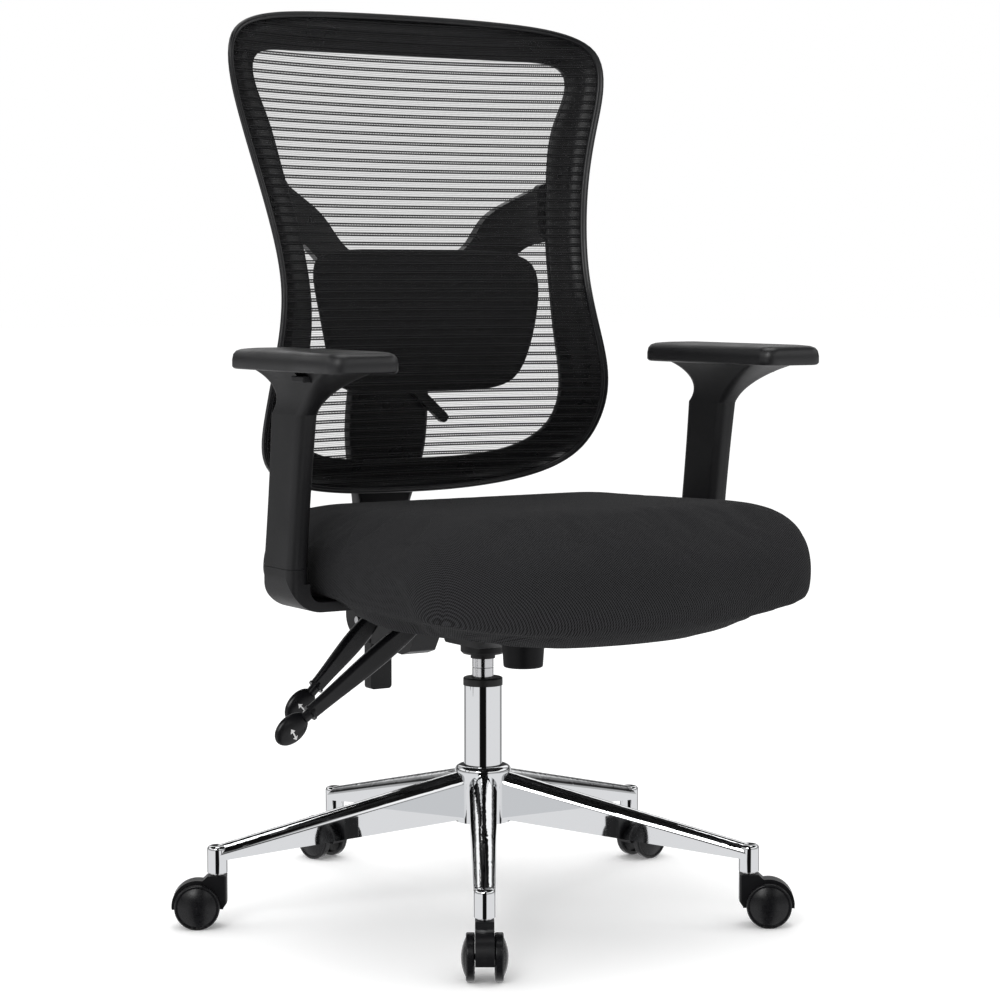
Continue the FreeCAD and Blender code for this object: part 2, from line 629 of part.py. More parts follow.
# ================================================================= tilt mechanism
def mechanism_housing():
    outline = [(HOUSING_FRONT, HOUSING_NOSE_BOTTOM), (TILT_Y - 8, HOUSING_NOSE_BOTTOM),
               (TILT_Y + 12, HOUSING_BOTTOM), (HOUSING_REAR, HOUSING_BOTTOM),
               (HOUSING_REAR, HOUSING_REAR_TOP), (-20, HOUSING_TOP), (HOUSING_FRONT, HOUSING_TOP)]
    inner = [(HOUSING_FRONT + SHEET, HOUSING_NOSE_BOTTOM + SHEET),
             (TILT_Y - 8, HOUSING_NOSE_BOTTOM + SHEET), (TILT_Y + 12, HOUSING_BOTTOM + SHEET),
             (HOUSING_REAR - SHEET, HOUSING_BOTTOM + SHEET),
             (HOUSING_REAR - SHEET, HOUSING_TOP + 20), (HOUSING_FRONT + SHEET, HOUSING_TOP + 20)]
    tray = side_prism(outline, -HOUSING_HALF_W, HOUSING_HALF_W, 6.0)
    space = side_prism(inner, -HOUSING_HALF_W + SHEET, HOUSING_HALF_W - SHEET)
    tray = tray.cut(space)
    boss = Part.makeCylinder(BOSS_R, HOUSING_BOTTOM - BOSS_BOTTOM + 1, V(0, 0, BOSS_BOTTOM))
    lower = [e for e in boss.Edges if abs(e.BoundBox.ZMax - BOSS_BOTTOM) < 0.01]
    boss = boss.makeChamfer(3.0, lower)
    lip = Part.makeCylinder(LIP_R, BOSS_BOTTOM - LIP_BOTTOM + 1, V(0, 0, LIP_BOTTOM))
    socket = Part.makeCylinder(CYLINDER_R + 5, CYLINDER_TOP - 4 - HOUSING_BOTTOM,
                               V(0, 0, HOUSING_BOTTOM))
    tray = tray.fuse(boss).fuse(lip).fuse(socket)
    tray = tray.cut(Part.makeCylinder(CYLINDER_R + FIXED_FIT, 200, V(0, 0, LIP_BOTTOM - 1)))
    axle = rod(TILT_AXLE_R + FIXED_FIT, V(-90, TILT_Y, TILT_Z), V(90, TILT_Y, TILT_Z))
    bolt_hole = Part.makeCylinder(BOLT_R + RUNNING_FIT, 60, V(0, KNOB_Y, HOUSING_NOSE_BOTTOM - 20))
    slot = box(-HOUSING_HALF_W - 20, -20, -LEVER_SHAFT_R - 3, LEVER_SHAFT_R + 3,
               LEVER_PIVOT_Z - LEVER_SHAFT_R - 4, HOUSING_TOP + 5)
    tray = tray.cut(axle).cut(bolt_hole).cut(slot)
    return tray.fuse(lever_ears(-HOUSING_HALF_W, 0.0, LEVER_PIVOT_X, LEVER_PIVOT_Z))


def lever_ears(wall_x, y, pivot_x, pivot_z):
    """Two lugs on a wall's outer face, bored for a lever's trunnions."""
    ears = []
    for side in (-1, 1):
        near = LEVER_THICK / 2 + 2.0
        far = near + EAR_SHEET
        y0 = y + min(side * near, side * far)
        lug = box(pivot_x - 7, wall_x, y0, y0 + EAR_SHEET, pivot_z - 8, pivot_z + 8)
        ears.append(lug)
    both = ears[0].fuse(ears[1])
    bore = rod(TRUNNION_R + RUNNING_FIT, V(pivot_x, y - 40, pivot_z), V(pivot_x, y + 40, pivot_z))
    return both.cut(bore)


def tilt_axle():
    half = HOUSING_HALF_W + LOOSE_GAP + EAR_SHEET + 5.0
    return rod(TILT_AXLE_R, V(-half, TILT_Y, TILT_Z), V(half, TILT_Y, TILT_Z))


def tension_knob():
    top = HOUSING_NOSE_BOTTOM - LOOSE_GAP
    body = Part.makeCone(KNOB_BOTTOM_R, KNOB_TOP_R, top - KNOB_BOTTOM, V(0, KNOB_Y, KNOB_BOTTOM))
    rims = [e for e in body.Edges if e.BoundBox.ZLength < 0.01]
    body = body.makeFillet(2.5, rims)
    return body.cut(Part.makeCylinder(BOLT_R + FIXED_FIT, 60, V(0, KNOB_Y, KNOB_BOTTOM + 5)))


def tension_bolt():
    shank = Part.makeCylinder(BOLT_R, HOUSING_TOP - KNOB_BOTTOM - 8, V(0, KNOB_Y, KNOB_BOTTOM + 5))
    cup = Part.makeCylinder(SPRING_R + SPRING_WIRE_R + 1, 3.0, V(0, KNOB_Y, HOUSING_TOP - 6))
    return shank.fuse(cup)


def tilt_spring():
    floor = HOUSING_NOSE_BOTTOM + SHEET + SPRING_WIRE_R + 0.3
    ceiling = HOUSING_TOP - 6 - SPRING_WIRE_R - 0.3
    pitch = (ceiling - floor) / SPRING_TURNS
    helix = Part.makeHelix(pitch, ceiling - floor, SPRING_R)
    circle = Part.Wire([Part.makeCircle(SPRING_WIRE_R, V(SPRING_R, 0, 0), Y_AXIS)])
    coil = Part.Wire(helix).makePipeShell([circle], True, True)
    coil.translate(V(0, KNOB_Y, floor))
    return coil


# ================================================================= levers
def lever_blade(length):
    """Tapered lever with neck, flange and paddle, along +X from the origin."""
    sections = []
    for x, w, t in ((0, LEVER_ROOT_W * 0.75, LEVER_THICK * 0.9), (length * 0.2, LEVER_ROOT_W, LEVER_THICK),
                    (length * 0.7, LEVER_ROOT_W * 0.86, LEVER_THICK), (length, LEVER_NECK_W, LEVER_THICK * 0.8)):
        flat = rounded_rect(0, 0, w, t, t * 0.45, 0)
        flat.rotate(V(0, 0, 0), Y_AXIS, 90)
        flat.translate(V(x, 0, 0))
        sections.append(flat)
    blade = Part.makeLoft(sections, True, False)
    neck = rod(PADDLE_THICK * 0.42, V(length - 4, 0, 0), V(length + 14, 0, 0))
    flange = rod(FLANGE_R, V(length, 0, 0), V(length + FLANGE_H, 0, 0))
    paddle = Part.makeSphere(1.0)
    matrix = FreeCAD.Matrix()
    matrix.scale(PADDLE_LENGTH / 2, PADDLE_THICK / 2, PADDLE_W / 2)
    paddle = paddle.transformGeometry(matrix)
    paddle.translate(V(length + 9 + PADDLE_LENGTH / 2, 0, 0))
    return blade.fuse(neck).fuse(flange).fuse(paddle)


def drooping_lever(pivot_x, pivot_z, bend_x, end, y, finger_x):
    """Lever whose shaft runs level from the mechanism and whose blade droops outward."""
    start = V(bend_x, y, pivot_z)
    direction = V(end[0], y, end[1]).sub(start)
    blade = lever_blade(direction.Length)
    droop = math.degrees(math.atan2(-direction.z, -direction.x))
    blade.rotate(V(0, 0, 0), Z_AXIS, 180)
    blade.rotate(V(0, 0, 0), Y_AXIS, -droop)
    blade.translate(start)
    shaft = rod(LEVER_SHAFT_R, V(finger_x, y, pivot_z), V(bend_x - 6, y, pivot_z))
    hub = rod(7.0, V(pivot_x, y - LEVER_THICK / 2, pivot_z), V(pivot_x, y + LEVER_THICK / 2, pivot_z))
    reach = LEVER_THICK / 2 + 2.0 + EAR_SHEET
    trunnion = rod(TRUNNION_R, V(pivot_x, y - reach, pivot_z), V(pivot_x, y + reach, pivot_z))
    return blade.fuse(shaft).fuse(hub).fuse(trunnion)


def height_lever():
    return drooping_lever(LEVER_PIVOT_X, LEVER_PIVOT_Z, LEVER_BEND_X, LEVER_END, 0.0, 4.0)


def back_lever():
    bend = BACK_LEVER_PIVOT_X - 6
    return drooping_lever(BACK_LEVER_PIVOT_X, BACK_LEVER_PIVOT_Z, bend, BACK_LEVER_END,
                          BACK_LEVER_Y, BACK_LEVER_PIVOT_X + 4)


# ================================================================= seat
def seat_bolt_points():
    return [(sx * SEAT_BOLT_X, y) for sx in (-1, 1) for y in (SEAT_BOLT_FRONT, SEAT_BOLT_REAR)]


def seat_plate():
    plate_bottom = BOARD_BOTTOM - SHEET
    outline = rounded_rect(0, (PLATE_FRONT + PLATE_REAR) / 2, 2 * PLATE_HALF_W + 2 * SHEET,
                           PLATE_REAR - PLATE_FRONT, 14.0, plate_bottom)
    plate = solid_prism(outline, V(0, 0, SHEET))
    cheek = side_prism([(CHEEK_FRONT, plate_bottom + 1), (CHEEK_FRONT, CHEEK_BOTTOM),
                        (CHEEK_REAR, CHEEK_BOTTOM), (CHEEK_REAR, plate_bottom + 1)],
                       PLATE_HALF_W, PLATE_HALF_W + SHEET, CHEEK_CORNER_R)
    upper = box(PLATE_HALF_W, PLATE_HALF_W + SHEET, CHEEK_FRONT, CHEEK_REAR,
                plate_bottom - CHEEK_CORNER_R - 10, plate_bottom + 1)
    cheek = cheek.fuse(upper)
    spare = rod(4.0, V(80, SPARE_HOLE_Y, SPARE_HOLE_Z), V(120, SPARE_HOLE_Y, SPARE_HOLE_Z))
    cheek = cheek.cut(spare)
    ear_x = HOUSING_HALF_W + LOOSE_GAP
    ear = side_prism([(TILT_Y - EAR_W / 2, plate_bottom + 1), (TILT_Y - EAR_W / 2, TILT_Z - 12),
                      (TILT_Y + EAR_W / 2, TILT_Z - 12), (TILT_Y + EAR_W / 2, plate_bottom + 1)],
                     ear_x, ear_x + EAR_SHEET)
    plate = plate.fuse(cheek).fuse(mirrored(cheek)).fuse(ear).fuse(mirrored(ear))
    axle = rod(TILT_AXLE_R + RUNNING_FIT, V(-90, TILT_Y, TILT_Z), V(90, TILT_Y, TILT_Z))
    pin = rod(RECLINE_PIN_R + FIXED_FIT, V(-150, RECLINE_Y, RECLINE_Z), V(150, RECLINE_Y, RECLINE_Z))
    plate = plate.cut(axle).cut(pin)
    for x, y in seat_bolt_points():
        plate = plate.cut(Part.makeCylinder(SCREW_HOLE_R, 20, V(x, y, plate_bottom - 5)))
    return plate.fuse(lever_ears(-PLATE_HALF_W - SHEET, BACK_LEVER_Y, BACK_LEVER_PIVOT_X,
                                 BACK_LEVER_PIVOT_Z).common(
                                     box(-400, -PLATE_HALF_W, -400, 400, 0, 600)))


def recline_pin():
    half = PLATE_HALF_W + SHEET + 4.0
    return rod(RECLINE_PIN_R, V(-half, RECLINE_Y, RECLINE_Z), V(half, RECLINE_Y, RECLINE_Z))


def bolt_up(x, y, seat_z, length):
    """Bolt with its head under seat_z and its shank pointing up."""
    head = Part.makeCylinder(SCREW_HEAD_R, SCREW_HEAD_H, V(x, y, seat_z - SCREW_HEAD_H))
    rims = [e for e in head.Edges if abs(e.BoundBox.ZMax - seat_z + SCREW_HEAD_H) < 0.01]
    head = head.makeFillet(1.4, rims)
    shank = Part.makeCylinder(SCREW_R, length, V(x, y, seat_z))
    return head.fuse(shank)


def seat_bolts():
    seat_z = BOARD_BOTTOM - SHEET
    length = SHEET + BOARD_THICK * 0.8
    return Part.makeCompound([bolt_up(x, y, seat_z, length) for x, y in seat_bolt_points()])


def board_outline(grow, z):
    return rounded_rect(0, (BOARD_FRONT + BOARD_REAR) / 2, 2 * (BOARD_HALF_W + grow),
                        BOARD_REAR - BOARD_FRONT + 2 * grow, BOARD_CORNER_R + grow, z)


def seat_board():
    board = solid_prism(board_outline(0, BOARD_BOTTOM), V(0, 0, BOARD_THICK))
    for x, y in seat_bolt_points() + arm_bolt_points():
        board = board.cut(Part.makeCylinder(SCREW_HOLE_R, BOARD_THICK + 2, V(x, y, BOARD_BOTTOM - 1)))
    return board


def cushion_outline(shrink, z):
    """Seat outline with a bowed front edge."""
    hw = SEAT_HALF_W - shrink
    r = max(SEAT_CORNER_R - shrink, 34.0)
    rear = SEAT_REAR - shrink
    mid_front = SEAT_FRONT + shrink
    end_front = mid_front + SEAT_BOW
    s = r * (1 - math.sqrt(0.5))
    rear_r = max(SEAT_REAR_CORNER_R - shrink, 30.0)
    q = rear_r * (1 - math.sqrt(0.5))
    edges = [
        arc(V(-hw + r, end_front, z), V(0, mid_front, z), V(hw - r, end_front, z)),
        arc(V(hw - r, end_front, z), V(hw - s, end_front + s, z), V(hw, end_front + r, z)),
        line(V(hw, end_front + r, z), V(hw, rear - rear_r, z)),
        arc(V(hw, rear - rear_r, z), V(hw - q, rear - q, z), V(hw - rear_r, rear, z)),
        line(V(hw - rear_r, rear, z), V(-hw + rear_r, rear, z)),
        arc(V(-hw + rear_r, rear, z), V(-hw + q, rear - q, z), V(-hw, rear - rear_r, z)),
        line(V(-hw, rear - rear_r, z), V(-hw, end_front + r, z)),
        arc(V(-hw, end_front + r, z), V(-hw + s, end_front + s, z), V(-hw + r, end_front, z)),
    ]
    return Part.Wire(edges)


def seat_cushion():
    levels = ((SEAT_FRONT_BOTTOM, SEAT_EDGE, 0.0), (SEAT_FRONT_BOTTOM + 18, SEAT_EDGE * 0.25, 0.0),
              (SEAT_FRONT_BOTTOM + 50, 0.0, 0.0), (SEAT_TOP - 52, SEAT_CROWN * 0.07, 0.4),
              (SEAT_TOP - 21, SEAT_CROWN * 0.32, 0.8), (SEAT_TOP - 7, SEAT_CROWN * 0.6, 1.0),
              (SEAT_TOP, SEAT_CROWN, 1.0))
    sections = []
    for z, shrink, share in levels:
        section = cushion_outline(shrink, z)
        section.rotate(V(0, SEAT_FRONT / 2, z), X_AXIS, -SEAT_SLOPE * share)
        sections.append(section)
    block = Part.makeLoft(sections, True, False)
    low = SEAT_FRONT_BOTTOM - 60
    arm_front = ARM_Y - ARM_LEN / 2 - 8
    under = side_prism([(SEAT_REAR + 50, BOARD_BOTTOM + 1), (arm_front, BOARD_BOTTOM + 1),
                        (SEAT_FRONT + 66, SEAT_FRONT_BOTTOM + 2), (SEAT_FRONT + 60, low),
                        (SEAT_REAR + 50, low)], -400, 400)
    block = block.cut(under).cut(lip_cutter(low))
    pocket = solid_prism(board_outline(LOOSE_GAP, low), V(0, 0, BOARD_BOTTOM + BOARD_THICK
                                                         + LOOSE_GAP - low))
    return block.cut(pocket)


def lip_cutter(low):
    """Everything below the front lip's curved lower edge."""
    y = SEAT_FRONT - 20
    left = V(-SEAT_HALF_W - 5, y, SEAT_SIDE_BOTTOM)
    middle = V(0, y, SEAT_FRONT_BOTTOM + 1)
    right = V(SEAT_HALF_W + 5, y, SEAT_SIDE_BOTTOM)
    edges = [arc(left, middle, right), line(right, V(right.x, y, low)),
             line(V(right.x, y, low), V(left.x, y, low)), line(V(left.x, y, low), left)]
    return solid_prism(Part.Wire(edges), V(0, SEAT_REAR - SEAT_FRONT + 60, 0))


# ================================================================= arms (made for +X, mirrored)
def arm_bolt_points():
    points = []
    for side in (-1, 1):
        for x, dy in ((FOOT_INNER_X + 22, 0.0), (FOOT_INNER_X + 84, -24.0), (FOOT_INNER_X + 84, 24.0)):
            points.append((side * x, ARM_Y + dy))
    return points


def leaning_post(cy, length, thick, radius, z0, z1):
    lower = rounded_rect(ARM_X, cy - ARM_LEAN * (z0 - ARM_SEAM_Z), thick, length, radius, z0)
    upper = rounded_rect(ARM_X, cy - ARM_LEAN * (z1 - ARM_SEAM_Z), thick, length, radius, z1)
    return Part.makeLoft([lower, upper], True, True)


def arm_bracket():
    outer_x = ARM_X + ARM_THICK / 2
    inner_x = ARM_X - ARM_THICK / 2
    inner_r = FOOT_BEND_R - ARM_THICK
    s = FOOT_BEND_R * (1 - math.sqrt(0.5))
    q = inner_r * (1 - math.sqrt(0.5))
    y0 = ARM_Y - ARM_LEN / 2
    foot_top = BOARD_BOTTOM
    p = [V(outer_x, y0, ARM_SEAM_Z), V(outer_x, y0, FOOT_BOTTOM + FOOT_BEND_R),
         V(outer_x - s, y0, FOOT_BOTTOM + s), V(outer_x - FOOT_BEND_R, y0, FOOT_BOTTOM),
         V(FOOT_INNER_X, y0, FOOT_BOTTOM), V(FOOT_INNER_X, y0, foot_top),
         V(inner_x - inner_r, y0, foot_top), V(inner_x - q, y0, foot_top + q),
         V(inner_x, y0, foot_top + inner_r), V(inner_x, y0, ARM_SEAM_Z)]
    edges = [line(p[0], p[1]), arc(p[1], p[2], p[3]), line(p[3], p[4]), line(p[4], p[5]),
             line(p[5], p[6]), arc(p[6], p[7], p[8]), line(p[8], p[9]), line(p[9], p[0])]
    bracket = solid_prism(Part.Wire(edges), V(0, ARM_LEN, 0))
    plan = solid_prism(rounded_rect(ARM_X, ARM_Y, ARM_THICK, ARM_LEN, ARM_CORNER_R, 0), V(0, 0, 900))
    inward = box(0, ARM_X, ARM_Y - ARM_LEN / 2, ARM_Y + ARM_LEN / 2, 0, ARM_SEAM_Z - 18)
    bracket = bracket.common(plan.fuse(inward))
    tongue = leaning_post(ARM_Y, TONGUE_LEN, TONGUE_THICK, 4.0, ARM_SEAM_Z - 2, TONGUE_TOP)
    bracket = bracket.fuse(tongue)
    for x, y in arm_bolt_points():
        if x > 0:
            bracket = bracket.cut(Part.makeCylinder(SCREW_HOLE_R, 40, V(x, y, FOOT_BOTTOM - 5)))
    return bracket


def arm_sleeve():
    bottom = ARM_SEAM_Z + ARM_SEAM_GAP
    pad_bottom = PAD_TOP - PAD_THICK
    rise = pad_bottom - bottom
    rows = ((0.0, ARM_LEN, ARM_THICK), (0.4, ARM_LEN, ARM_THICK - 1),
            (0.78, ARM_LEN + 4, ARM_THICK), (0.86, ARM_LEN + 16, ARM_THICK + 3),
            (0.94, ARM_LEN + 62, ARM_THICK + 18), (1.0, FLARE_LEN, FLARE_W))
    sections = []
    for share, length, width in rows:
        z = bottom + share * rise
        blend = max(0.0, (share - 0.78) / 0.22)
        cx = ARM_X + (PAD_X - ARM_X) * blend
        post_y = ARM_Y - ARM_LEAN * (z - ARM_SEAM_Z)
        cy = post_y + (PAD_Y - post_y) * blend
        sections.append(rounded_rect(cx, cy, width, length, ARM_CORNER_R + 8 * blend, z))
    sleeve = Part.makeLoft(sections[:3], True, False).fuse(Part.makeLoft(sections[2:], True, False))
    cavity = leaning_post(ARM_Y, TONGUE_LEN + 2 * RUNNING_FIT * 4, TONGUE_THICK + 2 * RUNNING_FIT * 4,
                          4.0, bottom - 2, CAVITY_TOP)
    pocket = button_block(LOOSE_GAP, BUTTON_TRAVEL + 1.0)
    return sleeve.cut(cavity).cut(pocket)


def button_block(grow, head_room):
    pad_bottom = PAD_TOP - PAD_THICK
    x1 = PAD_X + FLARE_W / 2 + 4.0
    z1 = pad_bottom - 4.5
    block = box(x1 - BUTTON_W - grow, x1 + grow, PAD_Y - 30 - BUTTON_LEN / 2 - grow,
                PAD_Y - 30 + BUTTON_LEN / 2 + grow, z1 - BUTTON_H - grow, z1 + head_room)
    return block


def arm_button():
    block = button_block(0.0, 0.0)
    outer = [e for e in block.Edges if abs(e.BoundBox.XMin - block.BoundBox.XMax) < 0.01]
    return block.makeFillet(1.6, outer)


def arm_pad():
    bottom = PAD_TOP - PAD_THICK
    pad = solid_prism(rounded_rect(PAD_X, PAD_Y, PAD_W, PAD_LEN, PAD_CORNER_R, bottom),
                      V(0, 0, PAD_THICK))
    top = [e for e in pad.Edges if abs(e.BoundBox.ZMin - PAD_TOP) < 0.01]
    pad = pad.makeFillet(PAD_EDGE_R, top)
    lower = [e for e in pad.Edges if abs(e.BoundBox.ZMax - bottom) < 0.01]
    return pad.makeFillet(3.0, lower)


def arm_bolts():
    length = BOARD_BOTTOM - FOOT_BOTTOM + BOARD_THICK * 0.8
    return Part.makeCompound([bolt_up(x, y, FOOT_BOTTOM, length) for x, y in arm_bolt_points()])


# ================================================================= back
def back_bracket():
    sleeve_front = BAR_FRONT - LOOSE_GAP - SLEEVE_WALL
    sleeve_rear = BAR_FRONT + BAR_THICK + LOOSE_GAP + SLEEVE_WALL
    half = BAR_HALF_W + LOOSE_GAP + SLEEVE_WALL
    sleeve = box(-half, half, sleeve_front, sleeve_rear, SLEEVE_BOTTOM, SLEEVE_TOP)
    uprights = [e for e in sleeve.Edges if e.BoundBox.ZLength > 10]
    sleeve = sleeve.makeFillet(4.0, uprights)
    cross_half = PLATE_HALF_W - LOOSE_GAP
    cross = rod(CROSS_TUBE_R, V(-cross_half, RECLINE_Y, RECLINE_Z), V(cross_half, RECLINE_Y, RECLINE_Z))
    arm = side_prism([(RECLINE_Y - 13, RECLINE_Z - 12), (RECLINE_Y + 12, RECLINE_Z - 50),
                      (RECLINE_Y + 32, RECLINE_Z - 56), (sleeve_front + 2, RECLINE_Z - 50),
                      (sleeve_front + 2, SLEEVE_TOP - 4), (RECLINE_Y + 40, RECLINE_Z + 6),
                      (RECLINE_Y, RECLINE_Z + 14)], -BRACKET_HALF_W, BRACKET_HALF_W, 6.0)
    trough = box(-BRACKET_HALF_W + BRACKET_SHEET, BRACKET_HALF_W - BRACKET_SHEET,
                 RECLINE_Y + 22, sleeve_front - 6, RECLINE_Z - 46, RECLINE_Z + 40)
    body = arm.cut(trough).fuse(cross).fuse(sleeve)
    grow = LOOSE_GAP
    passage = box(-BAR_HALF_W - grow, BAR_HALF_W + grow, BAR_FRONT - grow,
                  BAR_FRONT + BAR_THICK + grow, SLEEVE_BOTTOM - 20, SLEEVE_TOP + 20)
    bore = rod(RECLINE_PIN_R + RUNNING_FIT, V(-150, RECLINE_Y, RECLINE_Z), V(150, RECLINE_Y, RECLINE_Z))
    return body.cut(passage).cut(bore)


def back_bar():
    bar = box(-BAR_HALF_W, BAR_HALF_W, BAR_FRONT, BAR_FRONT + BAR_THICK, BAR_BOTTOM, BAR_TOP)
    lower = [e for e in bar.Edges if abs(e.BoundBox.ZMax - BAR_BOTTOM) < 0.01
             and e.BoundBox.YLength > 5]
    bar = bar.makeFillet(BAR_CORNER_R, lower)
    for z in bar_bolt_heights():
        bar = bar.cut(rod(SCREW_HOLE_R, V(0, 200, z), V(0, 330, z)))
    return bar


def bar_bolt_heights():
    return (BAR_TOP - 48.0, BAR_TOP - 18.0)


def back_frame():
    outer = edge_prism(BACK_EDGE)
    middle = edge_prism(inset(BACK_EDGE, FLANGE_INSET))
    inner = edge_prism(inset(BACK_EDGE, RIM_W))
    opening = edge_prism(OPENING_EDGE)
    face = MESH_THICK + SEAM
    flange = curved_slab(face, face + FRAME_DEPTH, BACK_WRAP_R).common(middle.cut(opening))
    rim = curved_slab(-RIM_PROUD, RIM_DEPTH, BACK_WRAP_R).common(outer.cut(inner))
    frame = flange.fuse(rim)
    for x, z in join_screw_points():
        frame = frame.cut(rod(SCREW_HOLE_R, V(x, 60, z), V(x, 400, z)))
    return frame


def back_mesh():
    outline = edge_prism(inset(BACK_EDGE, RIM_W + SEAM))
    return curved_slab(0.0, MESH_THICK, BACK_WRAP_R).common(outline)


def join_screw_points():
    points = []
    for side in (-1, 1):
        for z in (JOIN_LOW_Z + 18, JOIN_HIGH_Z - 18):
            points.append((side * (JOIN_INNER_X + JOIN_OUTER_X + 12) / 2, z))
    return points


def frame_back():
    """Set-back of the frame's rear face from the mesh's face."""
    return MESH_THICK + SEAM + FRAME_DEPTH


def yoke_wrap_r():
    drop = sagitta(BACK_WRAP_R, YOKE_JOIN_X) + YOKE_SETBACK - frame_back() - SEAM
    return (YOKE_JOIN_X ** 2 + drop ** 2) / (2 * drop)


def back_yoke():
    right = ARM_UPPER + ARM_LOWER
    upper = [V(x, 60, z) for x, z in ARM_UPPER]
    lower = [V(x, 60, z) for x, z in ARM_LOWER]
    top_curve = Part.BSplineCurve()
    top_curve.interpolate(Points=[V(-p.x, p.y, p.z) for p in upper[:0:-1]] + upper)
    low_curve = Part.BSplineCurve()
    low_curve.interpolate(Points=lower + [V(-p.x, p.y, p.z) for p in lower[-2::-1]])
    left_end = line(V(-right[len(ARM_UPPER)][0], 60, right[len(ARM_UPPER)][1]),
                    V(-ARM_UPPER[-1][0], 60, ARM_UPPER[-1][1]))
    right_end = line(upper[-1], lower[0])
    outline = Part.Wire([top_curve.toShape(), right_end, low_curve.toShape(), left_end])
    arms = curved_slab(YOKE_SETBACK, YOKE_SETBACK + YOKE_THICK, yoke_wrap_r(), 215.0)
    arms = arms.common(solid_prism(outline, V(0, 270, 0)))
    back = frame_back() + SEAM
    joins = curved_slab(back, back + YOKE_THICK * 0.8, BACK_WRAP_R)
    plate = front_prism([(JOIN_INNER_X, JOIN_LOW_Z), (JOIN_OUTER_X, JOIN_LOW_Z + 4),
                         (JOIN_OUTER_X + 4, JOIN_HIGH_Z + 4), (JOIN_INNER_X + 8, JOIN_HIGH_Z)],
                        60, 330, 9.0)
    joins = joins.common(plate.fuse(mirrored(plate)))
    levels = []
    for z, front, thick, half in SPINE:
        levels.append(rounded_rect(0, front + thick / 2, 2 * half, thick, 7.0, z))
    spine = Part.makeLoft(levels, True, False)
    keep_out = curved_slab(0, frame_back() + SEAM, BACK_WRAP_R)
    yoke = spine.fuse(arms.cut(keep_out)).fuse(joins)
    bar_pocket = box(-BAR_HALF_W - SEAM / 4, BAR_HALF_W + SEAM / 4, BAR_FRONT - SEAM / 4,
                     BAR_FRONT + BAR_THICK + SEAM / 4, BAR_BOTTOM, BAR_TOP + SEAM)
    yoke = yoke.cut(bar_pocket)
    for side in (-1, 1):
        x = side * LUMBAR_PIN_X
        yoke = yoke.cut(rod(LUMBAR_PIN_R + RUNNING_FIT, V(x, 150, LUMBAR_PIN_Z), V(x, 300, LUMBAR_PIN_Z)))
    lever_bore = rod(TRUNNION_R + 1 + RUNNING_FIT, V(LUMBAR_LEVER_X, 200, LUMBAR_LEVER_Z),
                     V(LUMBAR_LEVER_X, 300, LUMBAR_LEVER_Z))
    yoke = yoke.cut(lever_bore)
    for x, z, seat_y in back_screw_places():
        yoke = yoke.cut(rod(SCREW_HOLE_R, V(x, 60, z), V(x, 400, z)))
        yoke = yoke.cut(rod(SCREW_HEAD_R + SEAM, V(x, seat_y, z), V(x, 400, z)))
    return yoke


def screw_back(x, z, seat_y, length):
    """Screw with its head behind seat_y and its shank pointing forward."""
    head = rod(SCREW_HEAD_R, V(x, seat_y, z), V(x, seat_y + SCREW_HEAD_H, z))
    shank = rod(SCREW_R, V(x, seat_y - length, z), V(x, seat_y, z))
    return head.fuse(shank)


def back_screw_places():
    """x, z and the set-back of each head's seat: four at the frame, two at the bar."""
    places = []
    for x, z in join_screw_points():
        rear = frame_back() + SEAM + YOKE_THICK * 0.8 - 3.5
        places.append((x, z, mesh_y(z) - sagitta(BACK_WRAP_R, abs(x)) + rear))
    for z in bar_bolt_heights():
        places.append((0, z, BAR_FRONT + BAR_THICK + 3.0))
    return places


def back_screws():
    return Part.makeCompound([screw_back(x, z, y, 16.0) for x, z, y in back_screw_places()])


def lumbar_pad():
    near = MESH_THICK + LUMBAR_GAP
    return curved_slab(near, near + LUMBAR_THICK, BACK_WRAP_R).common(edge_prism(LUMBAR_EDGE))


def lumbar_plate():
    near = MESH_THICK + LUMBAR_GAP + LUMBAR_THICK + SEAM
    outline = edge_prism(inset(LUMBAR_EDGE, LUMBAR_PLATE_INSET))
    plate = curved_slab(near, near + LUMBAR_PLATE, BACK_WRAP_R).common(outline)
    for side in (-1, 1):
        x = side * LUMBAR_PIN_X
        foot_y = mesh_y(LUMBAR_PIN_Z) + near - 8
        pin = rod(LUMBAR_PIN_R, V(x, foot_y, LUMBAR_PIN_Z), V(x, 240, LUMBAR_PIN_Z))
        plate = plate.fuse(pin.cut(curved_slab(-10, near, BACK_WRAP_R)))
    return plate


def spine_front(z):
    for (z0, y0, _, _), (z1, y1, _, _) in zip(SPINE, SPINE[1:]):
        if z0 <= z <= z1:
            return y0 + (y1 - y0) * (z - z0) / (z1 - z0)
    return SPINE[-1][1]


def lumbar_lever():
    face = spine_front(LUMBAR_LEVER_Z) - 3.0
    half = LUMBAR_LEVER_W / 2
    blade = Part.makeBox(LUMBAR_LEVER_LEN, LUMBAR_LEVER_THICK, LUMBAR_LEVER_W,
                         V(0, -LUMBAR_LEVER_THICK, -half))
    tip = rod(half, V(LUMBAR_LEVER_LEN, -LUMBAR_LEVER_THICK, 0), V(LUMBAR_LEVER_LEN, 0, 0))
    root = rod(half, V(0, -LUMBAR_LEVER_THICK, 0), V(0, 0, 0))
    shaft = rod(TRUNNION_R + 1, V(0, -2, 0), V(0, 24, 0))
    lever = blade.fuse(tip).fuse(root).fuse(shaft)
    lever.rotate(V(0, 0, 0), Y_AXIS, -LUMBAR_LEVER_ANGLE)
    lever.translate(V(LUMBAR_LEVER_X, face, LUMBAR_LEVER_Z))
    return lever


